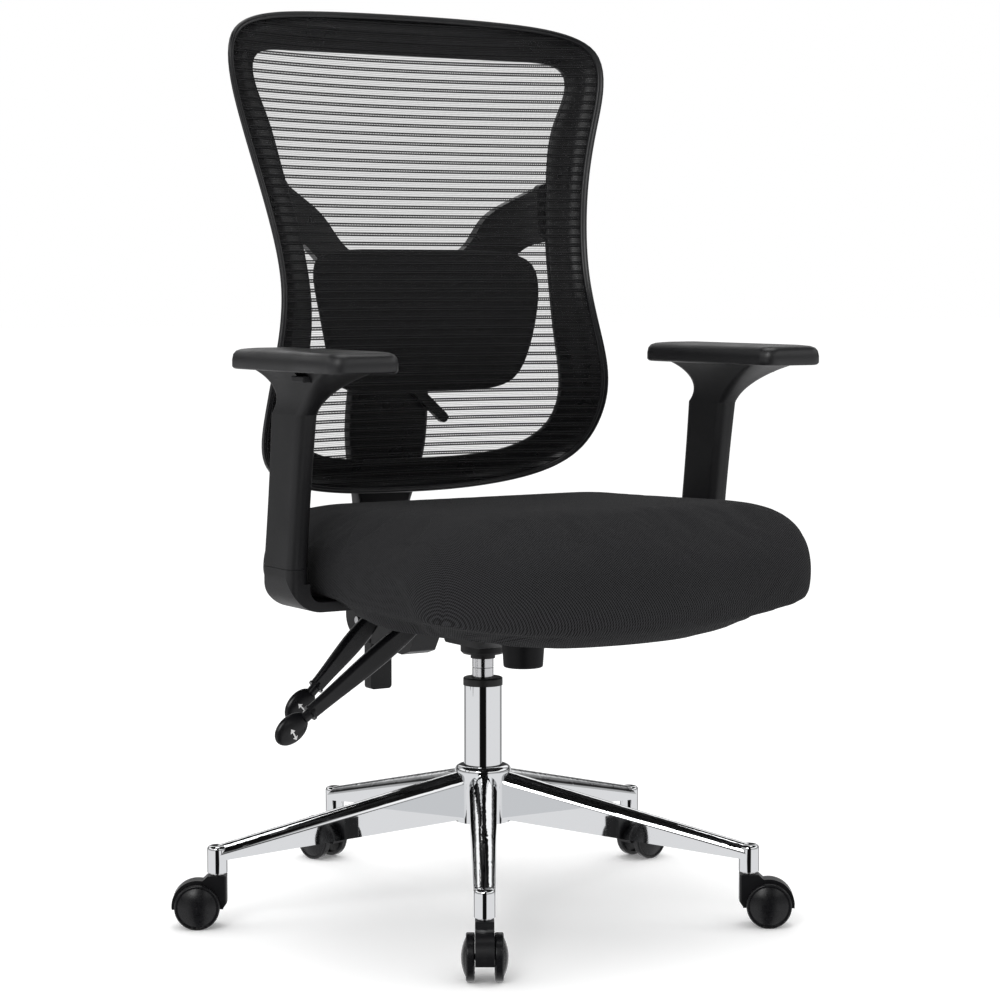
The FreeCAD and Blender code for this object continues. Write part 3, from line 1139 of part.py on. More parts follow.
# ================================================================= all pieces
os.makedirs("parts", exist_ok=True)
save("base_star", base_star())
save("caster_stems", caster_stems())
save_casters()
save("outer_tube", outer_tube())
save("guide_bushing", guide_bushing())
save("thrust_bearing", thrust_bearing())
save("piston_rod", piston_rod())
save("rod_clip", rod_clip())
save("gas_cylinder", gas_cylinder())
save("release_pin", release_pin())
save("mechanism_housing", mechanism_housing())
save("tilt_axle", tilt_axle())
save("tension_knob", tension_knob())
save("tension_bolt", tension_bolt())
save("tilt_spring", tilt_spring())
save("height_lever", height_lever())
save("back_lever", back_lever())
save("seat_plate", seat_plate())
save("recline_pin", recline_pin())
save("seat_bolts", seat_bolts())
save("seat_board", seat_board())
save("seat_cushion", seat_cushion())
for side_name, place in (("left", lambda s: s), ("right", mirrored)):
    save(side_name + "_arm_bracket", place(arm_bracket()))
    save(side_name + "_arm_sleeve", place(arm_sleeve()))
    save(side_name + "_arm_button", place(arm_button()))
    save(side_name + "_arm_pad", place(arm_pad()))
save("arm_bolts", arm_bolts())
save("back_bracket", back_bracket())
save("back_bar", back_bar())
save("back_frame", back_frame())
save("back_mesh", back_mesh())
save("back_yoke", back_yoke())
save("back_screws", back_screws())
save("lumbar_pad", lumbar_pad())
save("lumbar_plate", lumbar_plate())
save("lumbar_lever", lumbar_lever())
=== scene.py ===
import math

import bpy
import numpy as np
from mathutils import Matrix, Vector


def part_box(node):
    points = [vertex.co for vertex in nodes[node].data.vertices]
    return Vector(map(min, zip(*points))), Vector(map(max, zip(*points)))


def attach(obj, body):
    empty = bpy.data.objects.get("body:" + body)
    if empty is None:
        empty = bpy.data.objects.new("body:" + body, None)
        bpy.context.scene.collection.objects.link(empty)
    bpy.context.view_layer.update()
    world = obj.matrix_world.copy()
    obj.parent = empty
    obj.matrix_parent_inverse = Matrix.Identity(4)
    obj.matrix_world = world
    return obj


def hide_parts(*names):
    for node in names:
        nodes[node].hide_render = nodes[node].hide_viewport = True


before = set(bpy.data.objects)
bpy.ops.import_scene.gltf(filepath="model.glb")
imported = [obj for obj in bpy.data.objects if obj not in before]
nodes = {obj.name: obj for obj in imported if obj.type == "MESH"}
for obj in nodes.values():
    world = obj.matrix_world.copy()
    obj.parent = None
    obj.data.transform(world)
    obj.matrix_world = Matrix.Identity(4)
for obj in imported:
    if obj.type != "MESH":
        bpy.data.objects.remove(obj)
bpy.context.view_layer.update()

# ------------------------------------------------------------------ five-star base
# A pressed steel star with five tapering legs, welded to a hub, polished and chrome plated.
# The plating is mirror bright, with a faint haze and hairline polishing marks along each leg.


class Wire:
    """A shader socket that can be used in ordinary arithmetic."""

    def __init__(self, finish, socket):
        self.finish = finish
        self.socket = socket

    def __add__(self, other):
        return self.finish.maths("ADD", self, other)

    def __sub__(self, other):
        return self.finish.maths("SUBTRACT", self, other)

    def __rsub__(self, other):
        return self.finish.maths("SUBTRACT", other, self)

    def __mul__(self, other):
        return self.finish.maths("MULTIPLY", self, other)

    def __truediv__(self, other):
        return self.finish.maths("DIVIDE", self, other)

    def __lt__(self, other):
        return self.finish.maths("LESS_THAN", self, other)

    def __gt__(self, other):
        return self.finish.maths("GREATER_THAN", self, other)

    def __abs__(self):
        return self.finish.maths("ABSOLUTE", self)

    def sine(self):
        return self.finish.maths("SINE", self)

    def share(self, period):
        """Saw-tooth from 0 to 1 over each period."""
        return self.finish.maths("FRACT", self / period)

    def larger(self, other):
        return self.finish.maths("MAXIMUM", self, other)

    def step(self, low, high):
        """0 below low, 1 above high, with a soft change between."""
        return self.finish.node("ShaderNodeMapRange", {"interpolation_type": "SMOOTHSTEP"},
                                {"Value": self, "From Min": low, "From Max": high})


class Finish:
    """A material with one surface shader, whose pattern nodes are made by node()."""

    def __init__(self, name, **settings):
        self.material = bpy.data.materials.new(name)
        self.material.use_nodes = True
        self.tree = self.material.node_tree
        self.shader = self.tree.nodes["Principled BSDF"]
        self.place = self.node("ShaderNodeTexCoord", out="Object")
        for key, value in settings.items():
            socket = self.shader.inputs[key.replace("_", " ").title().replace("Ior", "IOR")]
            socket.default_value = (*value, 1.0) if isinstance(value, tuple) else value

    def node(self, kind, settings=(), links=(), out=0):
        made = self.tree.nodes.new(kind)
        for key, value in dict(settings).items():
            setattr(made, key, value)
        for key, value in dict(links).items():
            if isinstance(value, Wire):
                self.tree.links.new(value.socket, made.inputs[key])
            elif isinstance(value, tuple) and made.inputs[key].type == "RGBA":
                made.inputs[key].default_value = (*value, 1.0)
            else:
                made.inputs[key].default_value = value
        return Wire(self, made.outputs[out])

    def maths(self, operation, a, b=None):
        links = {0: a} if b is None else {0: a, 1: b}
        return self.node("ShaderNodeMath", {"operation": operation}, links)

    def axes(self, place=None):
        split = self.node("ShaderNodeSeparateXYZ", links={0: place or self.place})
        outs = split.socket.node.outputs
        return [Wire(self, outs[i]) for i in range(3)]

    def noise(self, scale, detail=2.0, stretch=None):
        place = self.place
        if stretch:
            place = self.node("ShaderNodeMapping", links={"Vector": place, "Scale": stretch})
        return self.node("ShaderNodeTexNoise", links={"Vector": place, "Scale": scale,
                                                      "Detail": detail})

    def mix(self, share, a, b):
        made = self.tree.nodes.new("ShaderNodeMix")
        made.data_type = "RGBA"
        for index, value in ((0, share), (6, a), (7, b)):
            if isinstance(value, Wire):
                self.tree.links.new(value.socket, made.inputs[index])
            else:
                made.inputs[index].default_value = (*value, 1.0) if index else value
        return Wire(self, made.outputs[2])

    def feed(self, socket, wire):
        self.tree.links.new(wire.socket, self.shader.inputs[socket])

    def bump(self, height, depth, strength=1.0):
        """Relief of the given depth in metres."""
        made = self.node("ShaderNodeBump", links={"Height": height, "Distance": depth,
                                                  "Strength": strength})
        self.feed("Normal", made)


def dress(finish, *names):
    """Gives CAD nodes their material."""
    for name in names:
        nodes[name].data.materials.clear()
        nodes[name].data.materials.append(finish.material)


chrome = Finish("polished_chrome", base_color=(0.79, 0.8, 0.81), metallic=1.0, roughness=0.04)
haze = chrome.noise(9.0, 3.0)
chrome.feed("Roughness", haze.step(0.35, 0.8) * 0.03 + 0.02)
chrome.bump(chrome.noise(45.0, 2.0, (1.0, 1.0, 0.3)), 0.00003)
dress(chrome, "base_star")

# ------------------------------------------------------------------ casters
# Twin-wheel nylon casters: a narrow body between two wheels with domed discs, on a zinc plated
# axle, each swivelling on a steel stem pressed up into a leg's end.
zinc = Finish("bright_zinc", base_color=(0.62, 0.62, 0.63), metallic=1.0, roughness=0.24)
zinc.feed("Roughness", zinc.noise(40.0, 2.0).step(0.3, 0.7) * 0.14 + 0.18)
hood_nylon = Finish("caster_nylon", base_color=(0.006, 0.006, 0.007), roughness=0.34,
                    specular_ior_level=0.35)
scuffs = hood_nylon.noise(120.0, 4.0).step(0.55, 0.75)
hood_nylon.feed("Roughness", scuffs * 0.2 + 0.3)
hood_nylon.bump(hood_nylon.noise(900.0, 2.0), 0.00006)
wheel_nylon = Finish("caster_wheel_nylon", base_color=(0.005, 0.005, 0.006), roughness=0.3,
                     specular_ior_level=0.35)
low = wheel_nylon.axes()[2]
# Patchy, lighter warm grey on the lowest few millimetres of each wheel, fading out by 8 mm up.
lighter_bottom = wheel_nylon.noise(300.0, 3.0).step(0.45, 0.8) * (1.0 - low.step(0.002, 0.008))
wheel_nylon.feed("Base Color", wheel_nylon.mix(lighter_bottom, (0.005, 0.005, 0.006), (0.04, 0.038, 0.035)))
wheel_nylon.feed("Roughness", wheel_nylon.noise(200.0, 3.0).step(0.3, 0.8) * 0.12 + 0.24)
wheel_nylon.bump(wheel_nylon.noise(700.0, 2.0), 0.00005)
for count in range(1, 6):
    dress(hood_nylon, f"caster_{count}_hood")
    dress(zinc, f"caster_{count}_axle")
    dress(wheel_nylon, f"caster_{count}_wheel_left", f"caster_{count}_wheel_right")
dress(zinc, "caster_stems")

# ------------------------------------------------------------------ gas column
# Chromed tube with a plastic guide bushing in its mouth, and the ground steel cylinder that
# slides and turns in it. A thin oil film dulls the cylinder slightly.
cylinder_steel = Finish("ground_cylinder", base_color=(0.68, 0.68, 0.69), metallic=1.0,
                        roughness=0.16)
rings = cylinder_steel.noise(40.0, 3.0, (0.2, 0.2, 30.0))
cylinder_steel.feed("Roughness", rings.step(0.3, 0.7) * 0.1 + 0.1)
bushing_black = Finish("bushing_black", base_color=(0.01, 0.01, 0.01), roughness=0.4,
                       specular_ior_level=0.4)
bushing_black.bump(bushing_black.noise(800.0, 2.0), 0.00005)
dress(chrome, "outer_tube")
dress(bushing_black, "guide_bushing")
dress(cylinder_steel, "gas_cylinder", "piston_rod", "release_pin", "rod_clip", "thrust_bearing")

# ------------------------------------------------------------------ tilt mechanism
# Pressed steel tray and plate, black powder coated, with a tapered plastic tension knob below.
powder = Finish("black_powder_coat", base_color=(0.008, 0.008, 0.009), roughness=0.42,
                specular_ior_level=0.35)
powder.bump(powder.noise(520.0, 3.0), 0.00022, 0.7)
powder.feed("Roughness", powder.noise(30.0, 3.0).step(0.3, 0.75) * 0.12 + 0.36)
knob_black = Finish("knob_black", base_color=(0.004, 0.004, 0.005), roughness=0.45,
                    specular_ior_level=0.2)
knob_black.bump(knob_black.noise(650.0, 2.0), 0.00012)
spring_steel = Finish("oiled_spring", base_color=(0.2, 0.2, 0.21), metallic=1.0, roughness=0.35)
screw_black = Finish("black_oxide", base_color=(0.03, 0.03, 0.03), metallic=1.0, roughness=0.38)
screw_black.feed("Roughness", screw_black.noise(200.0).step(0.3, 0.7) * 0.15 + 0.3)
dress(powder, "mechanism_housing", "seat_plate", "back_bracket", "back_bar")
dress(knob_black, "tension_knob")
dress(zinc, "tilt_axle", "tension_bolt", "recline_pin")
dress(spring_steel, "tilt_spring")
dress(screw_black, "seat_bolts", "arm_bolts", "back_screws")

# ------------------------------------------------------------------ levers
# Two glass-filled nylon levers, moulded in one piece with a flange and an ovoid paddle, which
# carries a painted double arrow.
ARROW_HALF = 0.0085
ARROW_SHAFT = 0.0009
ARROW_HEAD = 0.005
ARROW_INSET = 0.002
HEAD_SLOPE = 0.75
PAINT = (0.6, 0.6, 0.6)
LEVER_BLACK = (0.004, 0.004, 0.005)


def lever_finish(name, centre, slope, middle_y):
    """Moulded black nylon with a plain painted double arrow on the paddle's front."""
    nylon = Finish(name, base_color=LEVER_BLACK, roughness=0.3,
                   specular_ior_level=0.35, coat_weight=0.1, coat_roughness=0.2)
    nylon.bump(nylon.noise(500.0, 2.0), 0.00006)
    nylon.feed("Roughness", nylon.noise(25.0, 3.0).step(0.3, 0.7) * 0.12 + 0.24)
    x, y, z = nylon.axes()
    turn = math.radians(slope)
    east = x - centre[0]
    rise = z - centre[1]
    along = abs(east * math.cos(turn) + rise * math.sin(turn))
    across = abs(rise * math.cos(turn) - east * math.sin(turn))
    shaft = (across < ARROW_SHAFT) * (along < ARROW_HALF - ARROW_INSET)
    head = (across < (ARROW_HALF - along) * HEAD_SLOPE) * (along > ARROW_HALF - ARROW_HEAD)
    paint = shaft.larger(head) * (y < middle_y)
    nylon.feed("Base Color", nylon.mix(paint, LEVER_BLACK, PAINT))
    return nylon


dress(lever_finish("height_lever_black", (-0.278, 0.251), 122.0, -0.002), "height_lever")
dress(lever_finish("back_lever_black", (-0.228, 0.27), 135.0, 0.072), "back_lever")

# ------------------------------------------------------------------ seat
# Moulded foam on a plywood board, covered in a fine black woven cloth that is sewn with one
# upright seam at each front corner and stapled under the board, where thin black felt hides
# the plywood.
dust_cover = Finish("dust_cover", base_color=(0.006, 0.006, 0.006), roughness=0.9,
                    specular_ior_level=0.1)
felt = dust_cover.noise(600.0, 4.0)
dust_cover.feed("Base Color", dust_cover.mix(felt, (0.003, 0.003, 0.003), (0.012, 0.012, 0.012)))
dust_cover.bump(felt, 0.0005)
dress(dust_cover, "seat_board")


def woven_black(name, pitch, hollow_shade, light, depth):
    """Plain-weave cloth whose threads run along the piece's own axes, with painted shade between
    them.
    """
    cloth = Finish(name, roughness=0.85, specular_ior_level=0.1, sheen_weight=0.02,
                   sheen_roughness=0.4)
    x, y, z = cloth.axes()
    turn = 2 * math.pi / pitch
    across = (x * turn).sine()
    along = ((y + z) * turn).sine()
    threads = across * along
    slubs = cloth.noise(700.0, 3.0)
    relief = threads * 0.5 + 0.5 + slubs * 0.5
    wear = cloth.noise(5.0, 3.0).step(0.35, 0.7)
    # Colour follows the relief: raised threads take the lighter colour, and the hollows between them
    # are painted dark as shade.
    colour = cloth.mix(relief.step(0.25, 1.15), hollow_shade, light)
    cloth.feed("Base Color", cloth.mix(wear * 0.12, colour, light))
    cloth.feed("Roughness", slubs * 0.2 + 0.72)
    cloth.bump(relief, depth, 0.8)
    return cloth


# Its first colour is painted shade for the weave's hollows.
seat_cloth = woven_black("seat_cloth", 0.0036, (0.0015, 0.0015, 0.0015), (0.028, 0.028, 0.03),
                         0.0009)
REMESH = 0.006
PRESSURE = 3.0
SWELL_CAP = 0.009
SEAM_X = 0.262
SEAM_DEPTH = 0.0016
SEAM_HALF = 0.002
SEAM_BACK_Y = -0.24
SEAM_TOP_Z = 0.515
CUSHION_HEART = (0.0, -0.12, 0.47)
CLOTH_FRAMES = 20
CLOTH_QUALITY = 4
RELAX_SHARE = 0.5
RELAX_TURNS = 12


def mesh_object(name, points, faces, finish):
    mesh = bpy.data.meshes.new(name)
    mesh.from_pydata([tuple(p) for p in points], [], faces)
    mesh.validate()
    mesh.update()
    made = bpy.data.objects.new(name, mesh)
    bpy.context.scene.collection.objects.link(made)
    mesh.materials.append(finish.material)
    mesh.shade_smooth()
    return made


def coordinates(mesh):
    flat = np.zeros(len(mesh.vertices) * 3)
    mesh.vertices.foreach_get("co", flat)
    return flat.reshape(-1, 3)


def put_coordinates(mesh, points):
    mesh.vertices.foreach_set("co", np.ascontiguousarray(points).ravel())
    mesh.update()


def apply_all(piece):
    """Turns a piece's modifiers into its mesh."""
    graph = bpy.context.evaluated_depsgraph_get()
    done = bpy.data.meshes.new_from_object(piece.evaluated_get(graph))
    piece.modifiers.clear()
    piece.data = done


def settle_cloth(piece, cap):
    """Blows foam-filled cloth up a little, and keeps each point within cap of its start."""
    start = coordinates(piece.data)
    cloth = piece.modifiers.new("cover", "CLOTH")
    cloth.settings.use_pressure = True
    cloth.settings.uniform_pressure_force = PRESSURE
    cloth.settings.effector_weights.gravity = 0.0
    cloth.settings.quality = CLOTH_QUALITY
    cloth.point_cache.frame_end = CLOTH_FRAMES
    for number in range(1, CLOTH_FRAMES + 1):
        bpy.context.scene.frame_set(number)
    apply_all(piece)
    bpy.context.scene.frame_set(1)
    moved = coordinates(piece.data) - start
    length = np.linalg.norm(moved, axis=1, keepdims=True)
    moved *= np.minimum(1.0, cap / np.maximum(length, 1e-9))
    put_coordinates(piece.data, start + moved)


cushion = bpy.data.objects.new("seat_cover", nodes["seat_cushion"].data.copy())
bpy.context.scene.collection.objects.link(cushion)
cushion.data.materials.clear()
remesh = cushion.modifiers.new("even", "REMESH")
remesh.mode = "VOXEL"
remesh.voxel_size = REMESH
apply_all(cushion)
relax = cushion.modifiers.new("relax", "SMOOTH")
relax.factor = RELAX_SHARE
relax.iterations = RELAX_TURNS
apply_all(cushion)
settle_cloth(cushion, SWELL_CAP)
finer = cushion.modifiers.new("finer", "SUBSURF")
finer.levels = 1
apply_all(cushion)
points = coordinates(cushion.data)
off_seam = np.abs(np.abs(points[:, 0]) - SEAM_X)
front = (points[:, 1] < SEAM_BACK_Y) & (points[:, 2] < SEAM_TOP_Z)
dent = np.where(front, np.exp(-(off_seam / SEAM_HALF) ** 2), 0.0)[:, None] * SEAM_DEPTH
inward = np.array(CUSHION_HEART) - points
inward /= np.linalg.norm(inward, axis=1, keepdims=True)
put_coordinates(cushion.data, points + inward * dent)
cushion.data.materials.append(seat_cloth.material)
cushion.data.shade_smooth()
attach(cushion, "seat")
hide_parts("seat_cushion")

# ------------------------------------------------------------------ arms
# Glass-filled nylon uprights: a bracket bolted under the seat, a sleeve that slides over its
# tongue and flares out at the top, and a soft moulded pad on it.
arm_black = Finish("arm_grained_black", base_color=(0.006, 0.006, 0.007), roughness=0.5,
                   specular_ior_level=0.4)
arm_grain = arm_black.noise(1100.0, 3.0)
arm_black.bump(arm_grain, 0.00016)
arm_black.feed("Roughness", arm_black.noise(12.0, 3.0).step(0.3, 0.7) * 0.1 + 0.42)
dress(arm_black, "left_arm_bracket", "right_arm_bracket", "left_arm_sleeve", "right_arm_sleeve",
      "left_arm_button", "right_arm_button")
pad_skin = Finish("arm_pad_skin", base_color=(0.009, 0.009, 0.01), roughness=0.42,
                  specular_ior_level=0.5)
pad_grain = pad_skin.noise(1400.0, 2.0)
pad_skin.bump(pad_grain, 0.0001)
pad_skin.feed("Roughness", pad_skin.noise(18.0, 3.0).step(0.3, 0.7) * 0.12 + 0.34)
PAD_ROUND = 0.019
PAD_CENTRE_ROUND = 0.009
PAD_CROWN = 0.0006
PAD_CROWN_INSETS = (0.024, 0.034)
PAD_RINGS = ((0.0, 0.004), (0.03, 0.0016), (0.12, 0.0), (0.45, 0.0), (0.72, 0.0012), (0.88, 0.004),
             (0.965, 0.009), (1.0, 0.016))


def rounded_loop(x0, x1, y0, y1, radius, count=10):
    """Points round a rectangle with rounded corners."""
    loop = []
    for cx, cy, turn in ((x1 - radius, y1 - radius, 0), (x0 + radius, y1 - radius, 90),
                         (x0 + radius, y0 + radius, 180), (x1 - radius, y0 + radius, 270)):
        for step in range(count + 1):
            angle = math.radians(turn + 90 * step / count)
            loop.append((cx + radius * math.cos(angle), cy + radius * math.sin(angle)))
    return loop


def stacked(loops):
    """Skin over loops of equal length, with flat fans at the ends."""
    count = len(loops[0])
    points = [p for loop in loops for p in loop]
    faces = []
    for k in range(len(loops) - 1):
        for i in range(count):
            j = (i + 1) % count
            faces.append((k * count + i, k * count + j, (k + 1) * count + j, (k + 1) * count + i))
    faces.append(tuple(range(count - 1, -1, -1)))
    last = (len(loops) - 1) * count
    faces.append(tuple(range(last, last + count)))
    return points, faces


for side in ("left", "right"):
    low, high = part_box(f"{side}_arm_pad")
    loops = []
    for share, inset in PAD_RINGS:
        z = low.z + share * (high.z - low.z)
        loops.append([(x, y, z) for x, y in rounded_loop(
            low.x + inset, high.x - inset, low.y + inset, high.y - inset,
            max(PAD_ROUND - inset * 0.4, 0.008))])
    for inset in PAD_CROWN_INSETS:
        loops.append([(x, y, high.z + PAD_CROWN) for x, y in rounded_loop(
            low.x + inset, high.x - inset, low.y + inset, high.y - inset, PAD_CENTRE_ROUND)])
    pad = mesh_object(f"{side}_pad", *stacked(loops), pad_skin)
    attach(pad, f"{side}_arm")
    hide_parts(f"{side}_arm_pad")

# ------------------------------------------------------------------ back frame
# A moulded nylon ring, wrapped round the sitter, with a two-step bead at its rim that the net
# is welded behind, carried by a Y-shaped yoke.
frame_black = Finish("frame_black", base_color=(0.005, 0.005, 0.006), roughness=0.34,
                     specular_ior_level=0.5)
frame_black.bump(frame_black.noise(700.0, 2.0), 0.00006)
frame_black.feed("Roughness", frame_black.noise(16.0, 3.0).step(0.3, 0.7) * 0.12 + 0.26)
BACK_LINE = ((495, 223), (527, 213), (583, 190), (650, 158), (740, 143),
             (800, 149), (865, 166), (980, 200), (1100, 220), (1185, 226))
BACK_EDGE = ((0, 1167), (80, 1166), (160, 1162), (229, 1154), (283, 1131), (286, 1075),
             (271, 1020), (252, 950), (238, 880), (231, 810), (242, 745), (256, 690), (260, 635),
             (249, 578), (200, 545), (120, 530), (50, 526), (0, 526))
OPENING_EDGE = ((0, 1113), (90, 1112), (170, 1110), (238, 1109), (244, 1070), (214, 1018),
                (203, 950), (188, 880), (182, 800), (186, 730), (201, 668), (199, 612),
                (150, 580), (70, 573), (0, 573))
WRAP = 600.0
HEART = (0.0, 850.0)
ROUND = 288


def natural_spline(knots):
    """Smooth curve through (position, value) pairs, as a function."""
    at = np.array([k[0] for k in knots], float)
    value = np.array([k[1] for k in knots], float)
    n = len(at)
    gap = np.diff(at)
    system = np.zeros((n, n))
    right = np.zeros(n)
    system[0, 0] = system[-1, -1] = 1.0
    for i in range(1, n - 1):
        system[i, i - 1:i + 2] = gap[i - 1], 2 * (gap[i - 1] + gap[i]), gap[i]
        right[i] = 6 * ((value[i + 1] - value[i]) / gap[i] - (value[i] - value[i - 1]) / gap[i - 1])
    bend = np.linalg.solve(system, right)

    def curve(x):
        x = np.asarray(x, float)
        i = np.clip(np.searchsorted(at, x) - 1, 0, n - 2)
        a, b, h = at[i + 1] - x, x - at[i], gap[i]
        return ((bend[i] * a ** 3 + bend[i + 1] * b ** 3) / (6 * h)
                + (value[i] / h - bend[i] * h / 6) * a + (value[i + 1] / h - bend[i + 1] * h / 6) * b)
    return curve


back_line = natural_spline(BACK_LINE)


def back_face(x, z):
    """Set-back in millimetres of the net's face."""
    x = np.asarray(x, float)
    return back_line(z) - (WRAP - np.sqrt(WRAP * WRAP - x * x))


def moved_in(edge, distance):
    full = [(-edge[1][0], edge[1][1])] + list(edge) + [(-edge[-2][0], edge[-2][1])]
    moved = []
    for before, here, after in zip(full, full[1:], full[2:]):
        dx, dz = after[0] - before[0], after[1] - before[1]
        size = math.hypot(dx, dz)
        moved.append((here[0] + distance * dz / size, here[1] - distance * dx / size))
    return moved


def smooth_edge(edge, distance=0.0, parts=24):
    """Closed outline from the poles of its right half."""
    half = moved_in(edge, distance) if distance else list(edge)
    poles = np.array(half + [(-x, z) for x, z in half[-2:0:-1]], float)
    t = np.arange(parts)[:, None] / parts
    basis = ((1 - t) ** 3, 3 * t ** 3 - 6 * t ** 2 + 4, -3 * t ** 3 + 3 * t ** 2 + 3 * t + 1, t ** 3)
    return np.concatenate([sum(b * np.roll(poles, -k, 0)[i] for k, b in enumerate(basis)) / 6
                           for i in range(len(poles))])


def by_angle(outline, heart=HEART, count=ROUND):
    """The outline's points at even angles round its heart."""
    dx, dz = outline[:, 0] - heart[0], outline[:, 1] - heart[1]
    angle = np.arctan2(dz, dx)
    order = np.argsort(angle)
    angle, reach = angle[order], np.hypot(dx, dz)[order]
    want = np.linspace(-math.pi, math.pi, count, endpoint=False)
    r = np.interp(want, np.concatenate([angle[-1:] - 2 * math.pi, angle, angle[:1] + 2 * math.pi]),
                  np.concatenate([reach[-1:], reach, reach[:1]]))
    return np.stack([heart[0] + r * np.cos(want), heart[1] + r * np.sin(want)], 1)


def on_back(flat, behind):
    """Places (x, z) points a distance behind the net's face, in metres."""
    y = back_face(flat[:, 0], flat[:, 1]) + behind
    return np.stack([flat[:, 0], y, flat[:, 1]], 1) / 1000


RIM_PROFILE = ((5.0, 5.2), (1.2, 5.5), (0.3, 4.8), (0.0, 3.6), (0.0, 0.2), (0.5, -1.2), (1.5, -1.9),
               (2.7, -2.0), (3.7, -1.7), (4.3, -0.9), (4.8, -0.8), (5.3, -1.5), (6.2, -1.9),
               (7.3, -1.7), (8.1, -1.0), (8.5, 0.2), (8.5, 1.7))
edges = {}
for inset_mm, behind in RIM_PROFILE:
    if inset_mm not in edges:
        edges[inset_mm] = by_angle(smooth_edge(BACK_EDGE, inset_mm))
opening = by_angle(smooth_edge(OPENING_EDGE))
loops = [on_back(edges[inset_mm], behind) for inset_mm, behind in RIM_PROFILE]
flange_out = edges[RIM_PROFILE[-1][0]]
for share, behind in ((0.5, 1.65), (0.97, 1.7), (1.0, 2.6), (1.0, 10.2), (0.98, 11.2), (0.9, 11.6),
                      (0.55, 11.6), (0.5, 10.4), (0.12, 10.4), (0.06, 11.6), (-0.04, 11.6),
                      (-0.06, 10.6)):
    loops.append(on_back(flange_out + (opening - flange_out) * share, behind))
loops.append(loops[0])
ring_points = [tuple(p) for loop in loops[:-1] for p in loop]
ring_faces = []
turns = len(loops) - 1
for k in range(turns):
    for i in range(ROUND):
        j = (i + 1) % ROUND
        m = (k + 1) % turns
        ring_faces.append((k * ROUND + i, m * ROUND + i, m * ROUND + j, k * ROUND + j))
back_ring = mesh_object("back_ring", ring_points, ring_faces, frame_black)
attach(back_ring, "back")
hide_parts("back_frame")
dress(frame_black, "back_yoke")

# ------------------------------------------------------------------ back net
# Knitted polyester net stretched in the ring: pairs of heavy cords across it with a row of
# small eyelets between them, and three fine threads from pair to pair.
BAND = 12.2
CORD_R = 0.75
CORD_OFF = 1.55
SHORTEST_CORD = 30
NET_INSET = 8.6
NET_BEHIND = 0.7
EYELET_PITCH = 0.0026
UPRIGHT_PITCH = 0.0017
TWIST_PITCH = 0.0021
THREADS_PER_BAND = 5.0
BAND_HALF = 0.155
EYELET_HALF = 0.05
THREAD_HALF = 0.11
net_black = Finish("net_black", base_color=(0.008, 0.008, 0.009), roughness=0.7,
                   specular_ior_level=0.25)
x, y, z = net_black.axes()
row = z.share(BAND / 1000)
in_band = (abs(row - 0.5) < BAND_HALF)
eyelets = (x.share(EYELET_PITCH) > 0.45) * (abs(row - 0.5) < EYELET_HALF)
fine = (abs((row * THREADS_PER_BAND).share(1.0) - 0.5) < THREAD_HALF)
uprights = (x.share(UPRIGHT_PITCH) < 0.3)
veil = (fine * 0.8).larger(uprights * 0.4).larger(0.17)
alpha = (in_band * 0.9).larger(veil * (1.0 - in_band)) - eyelets * 0.6
net_black.feed("Alpha", alpha)
net_black.feed("Roughness", net_black.noise(300.0, 2.0) * 0.2 + 0.6)
net_edge = by_angle(smooth_edge(BACK_EDGE, NET_INSET))
heart = np.array(HEART)
RINGS = 44
net_points = [tuple(on_back(heart[None, :], NET_BEHIND)[0])]
for k in range(1, RINGS + 1):
    flat = heart + (net_edge - heart) * (k / RINGS)
    net_points += [tuple(p) for p in on_back(flat, NET_BEHIND)]
net_faces = [(0, 1 + i, 1 + (i + 1) % ROUND) for i in range(ROUND)]
for k in range(RINGS - 1):
    for i in range(ROUND):
        j = (i + 1) % ROUND
        a, b = 1 + k * ROUND, 1 + (k + 1) * ROUND
        net_faces.append((a + i, b + i, b + j, a + j))
net = mesh_object("back_net", net_points, net_faces, net_black)

cord_black = Finish("net_cord_black", base_color=(0.009, 0.009, 0.01), roughness=0.6,
                    specular_ior_level=0.3)
twist = cord_black.axes()[0] * (2 * math.pi / TWIST_PITCH)
cord_black.bump(twist.sine(), 0.0002)


def half_width(z, outline):
    """Half the outline's width at a height."""
    nxt = np.roll(outline, -1, 0)
    cross = (outline[:, 1] - z) * (nxt[:, 1] - z) < 0
    a, b = outline[cross], nxt[cross]
    if not len(a):
        return 0.0
    xs = a[:, 0] + (z - a[:, 1]) / (b[:, 1] - a[:, 1]) * (b[:, 0] - a[:, 0])
    return min(xs.max(), -xs.min())


net_outline = smooth_edge(BACK_EDGE, NET_INSET)
cord_points, cord_faces = [], []
CORD_SPANS = 36
CORD_SIDES = 5
first_band = math.ceil(net_outline[:, 1].min() / BAND)
for band in range(first_band, int(net_outline[:, 1].max() / BAND) + 1):
    for offset in (-CORD_OFF, CORD_OFF):
        height = (band + 0.5) * BAND + offset
        reach = half_width(height, net_outline)
        if reach < SHORTEST_CORD:
            continue
        xs = np.linspace(-reach, reach, CORD_SPANS + 1)
        line = np.stack([xs, back_face(xs, np.full_like(xs, height)) + NET_BEHIND,
                         np.full_like(xs, height)], 1)
        base = len(cord_points)
        for p in line:
            for s in range(CORD_SIDES):
                angle = 2 * math.pi * s / CORD_SIDES
                cord_points.append((p[0] / 1000, (p[1] + CORD_R * math.cos(angle)) / 1000,
                                    (p[2] + CORD_R * math.sin(angle)) / 1000))
        for k in range(CORD_SPANS):
            for s in range(CORD_SIDES):
                t = (s + 1) % CORD_SIDES
                a, b = base + k * CORD_SIDES, base + (k + 1) * CORD_SIDES
                cord_faces.append((a + s, a + t, b + t, b + s))
        cord_faces.append(tuple(base + s for s in range(CORD_SIDES))[::-1])
        last = base + CORD_SPANS * CORD_SIDES
        cord_faces.append(tuple(last + s for s in range(CORD_SIDES)))
cords = mesh_object("net_cords", cord_points, cord_faces, cord_black)
for piece in (net, cords):
    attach(piece, "back")
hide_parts("back_mesh")

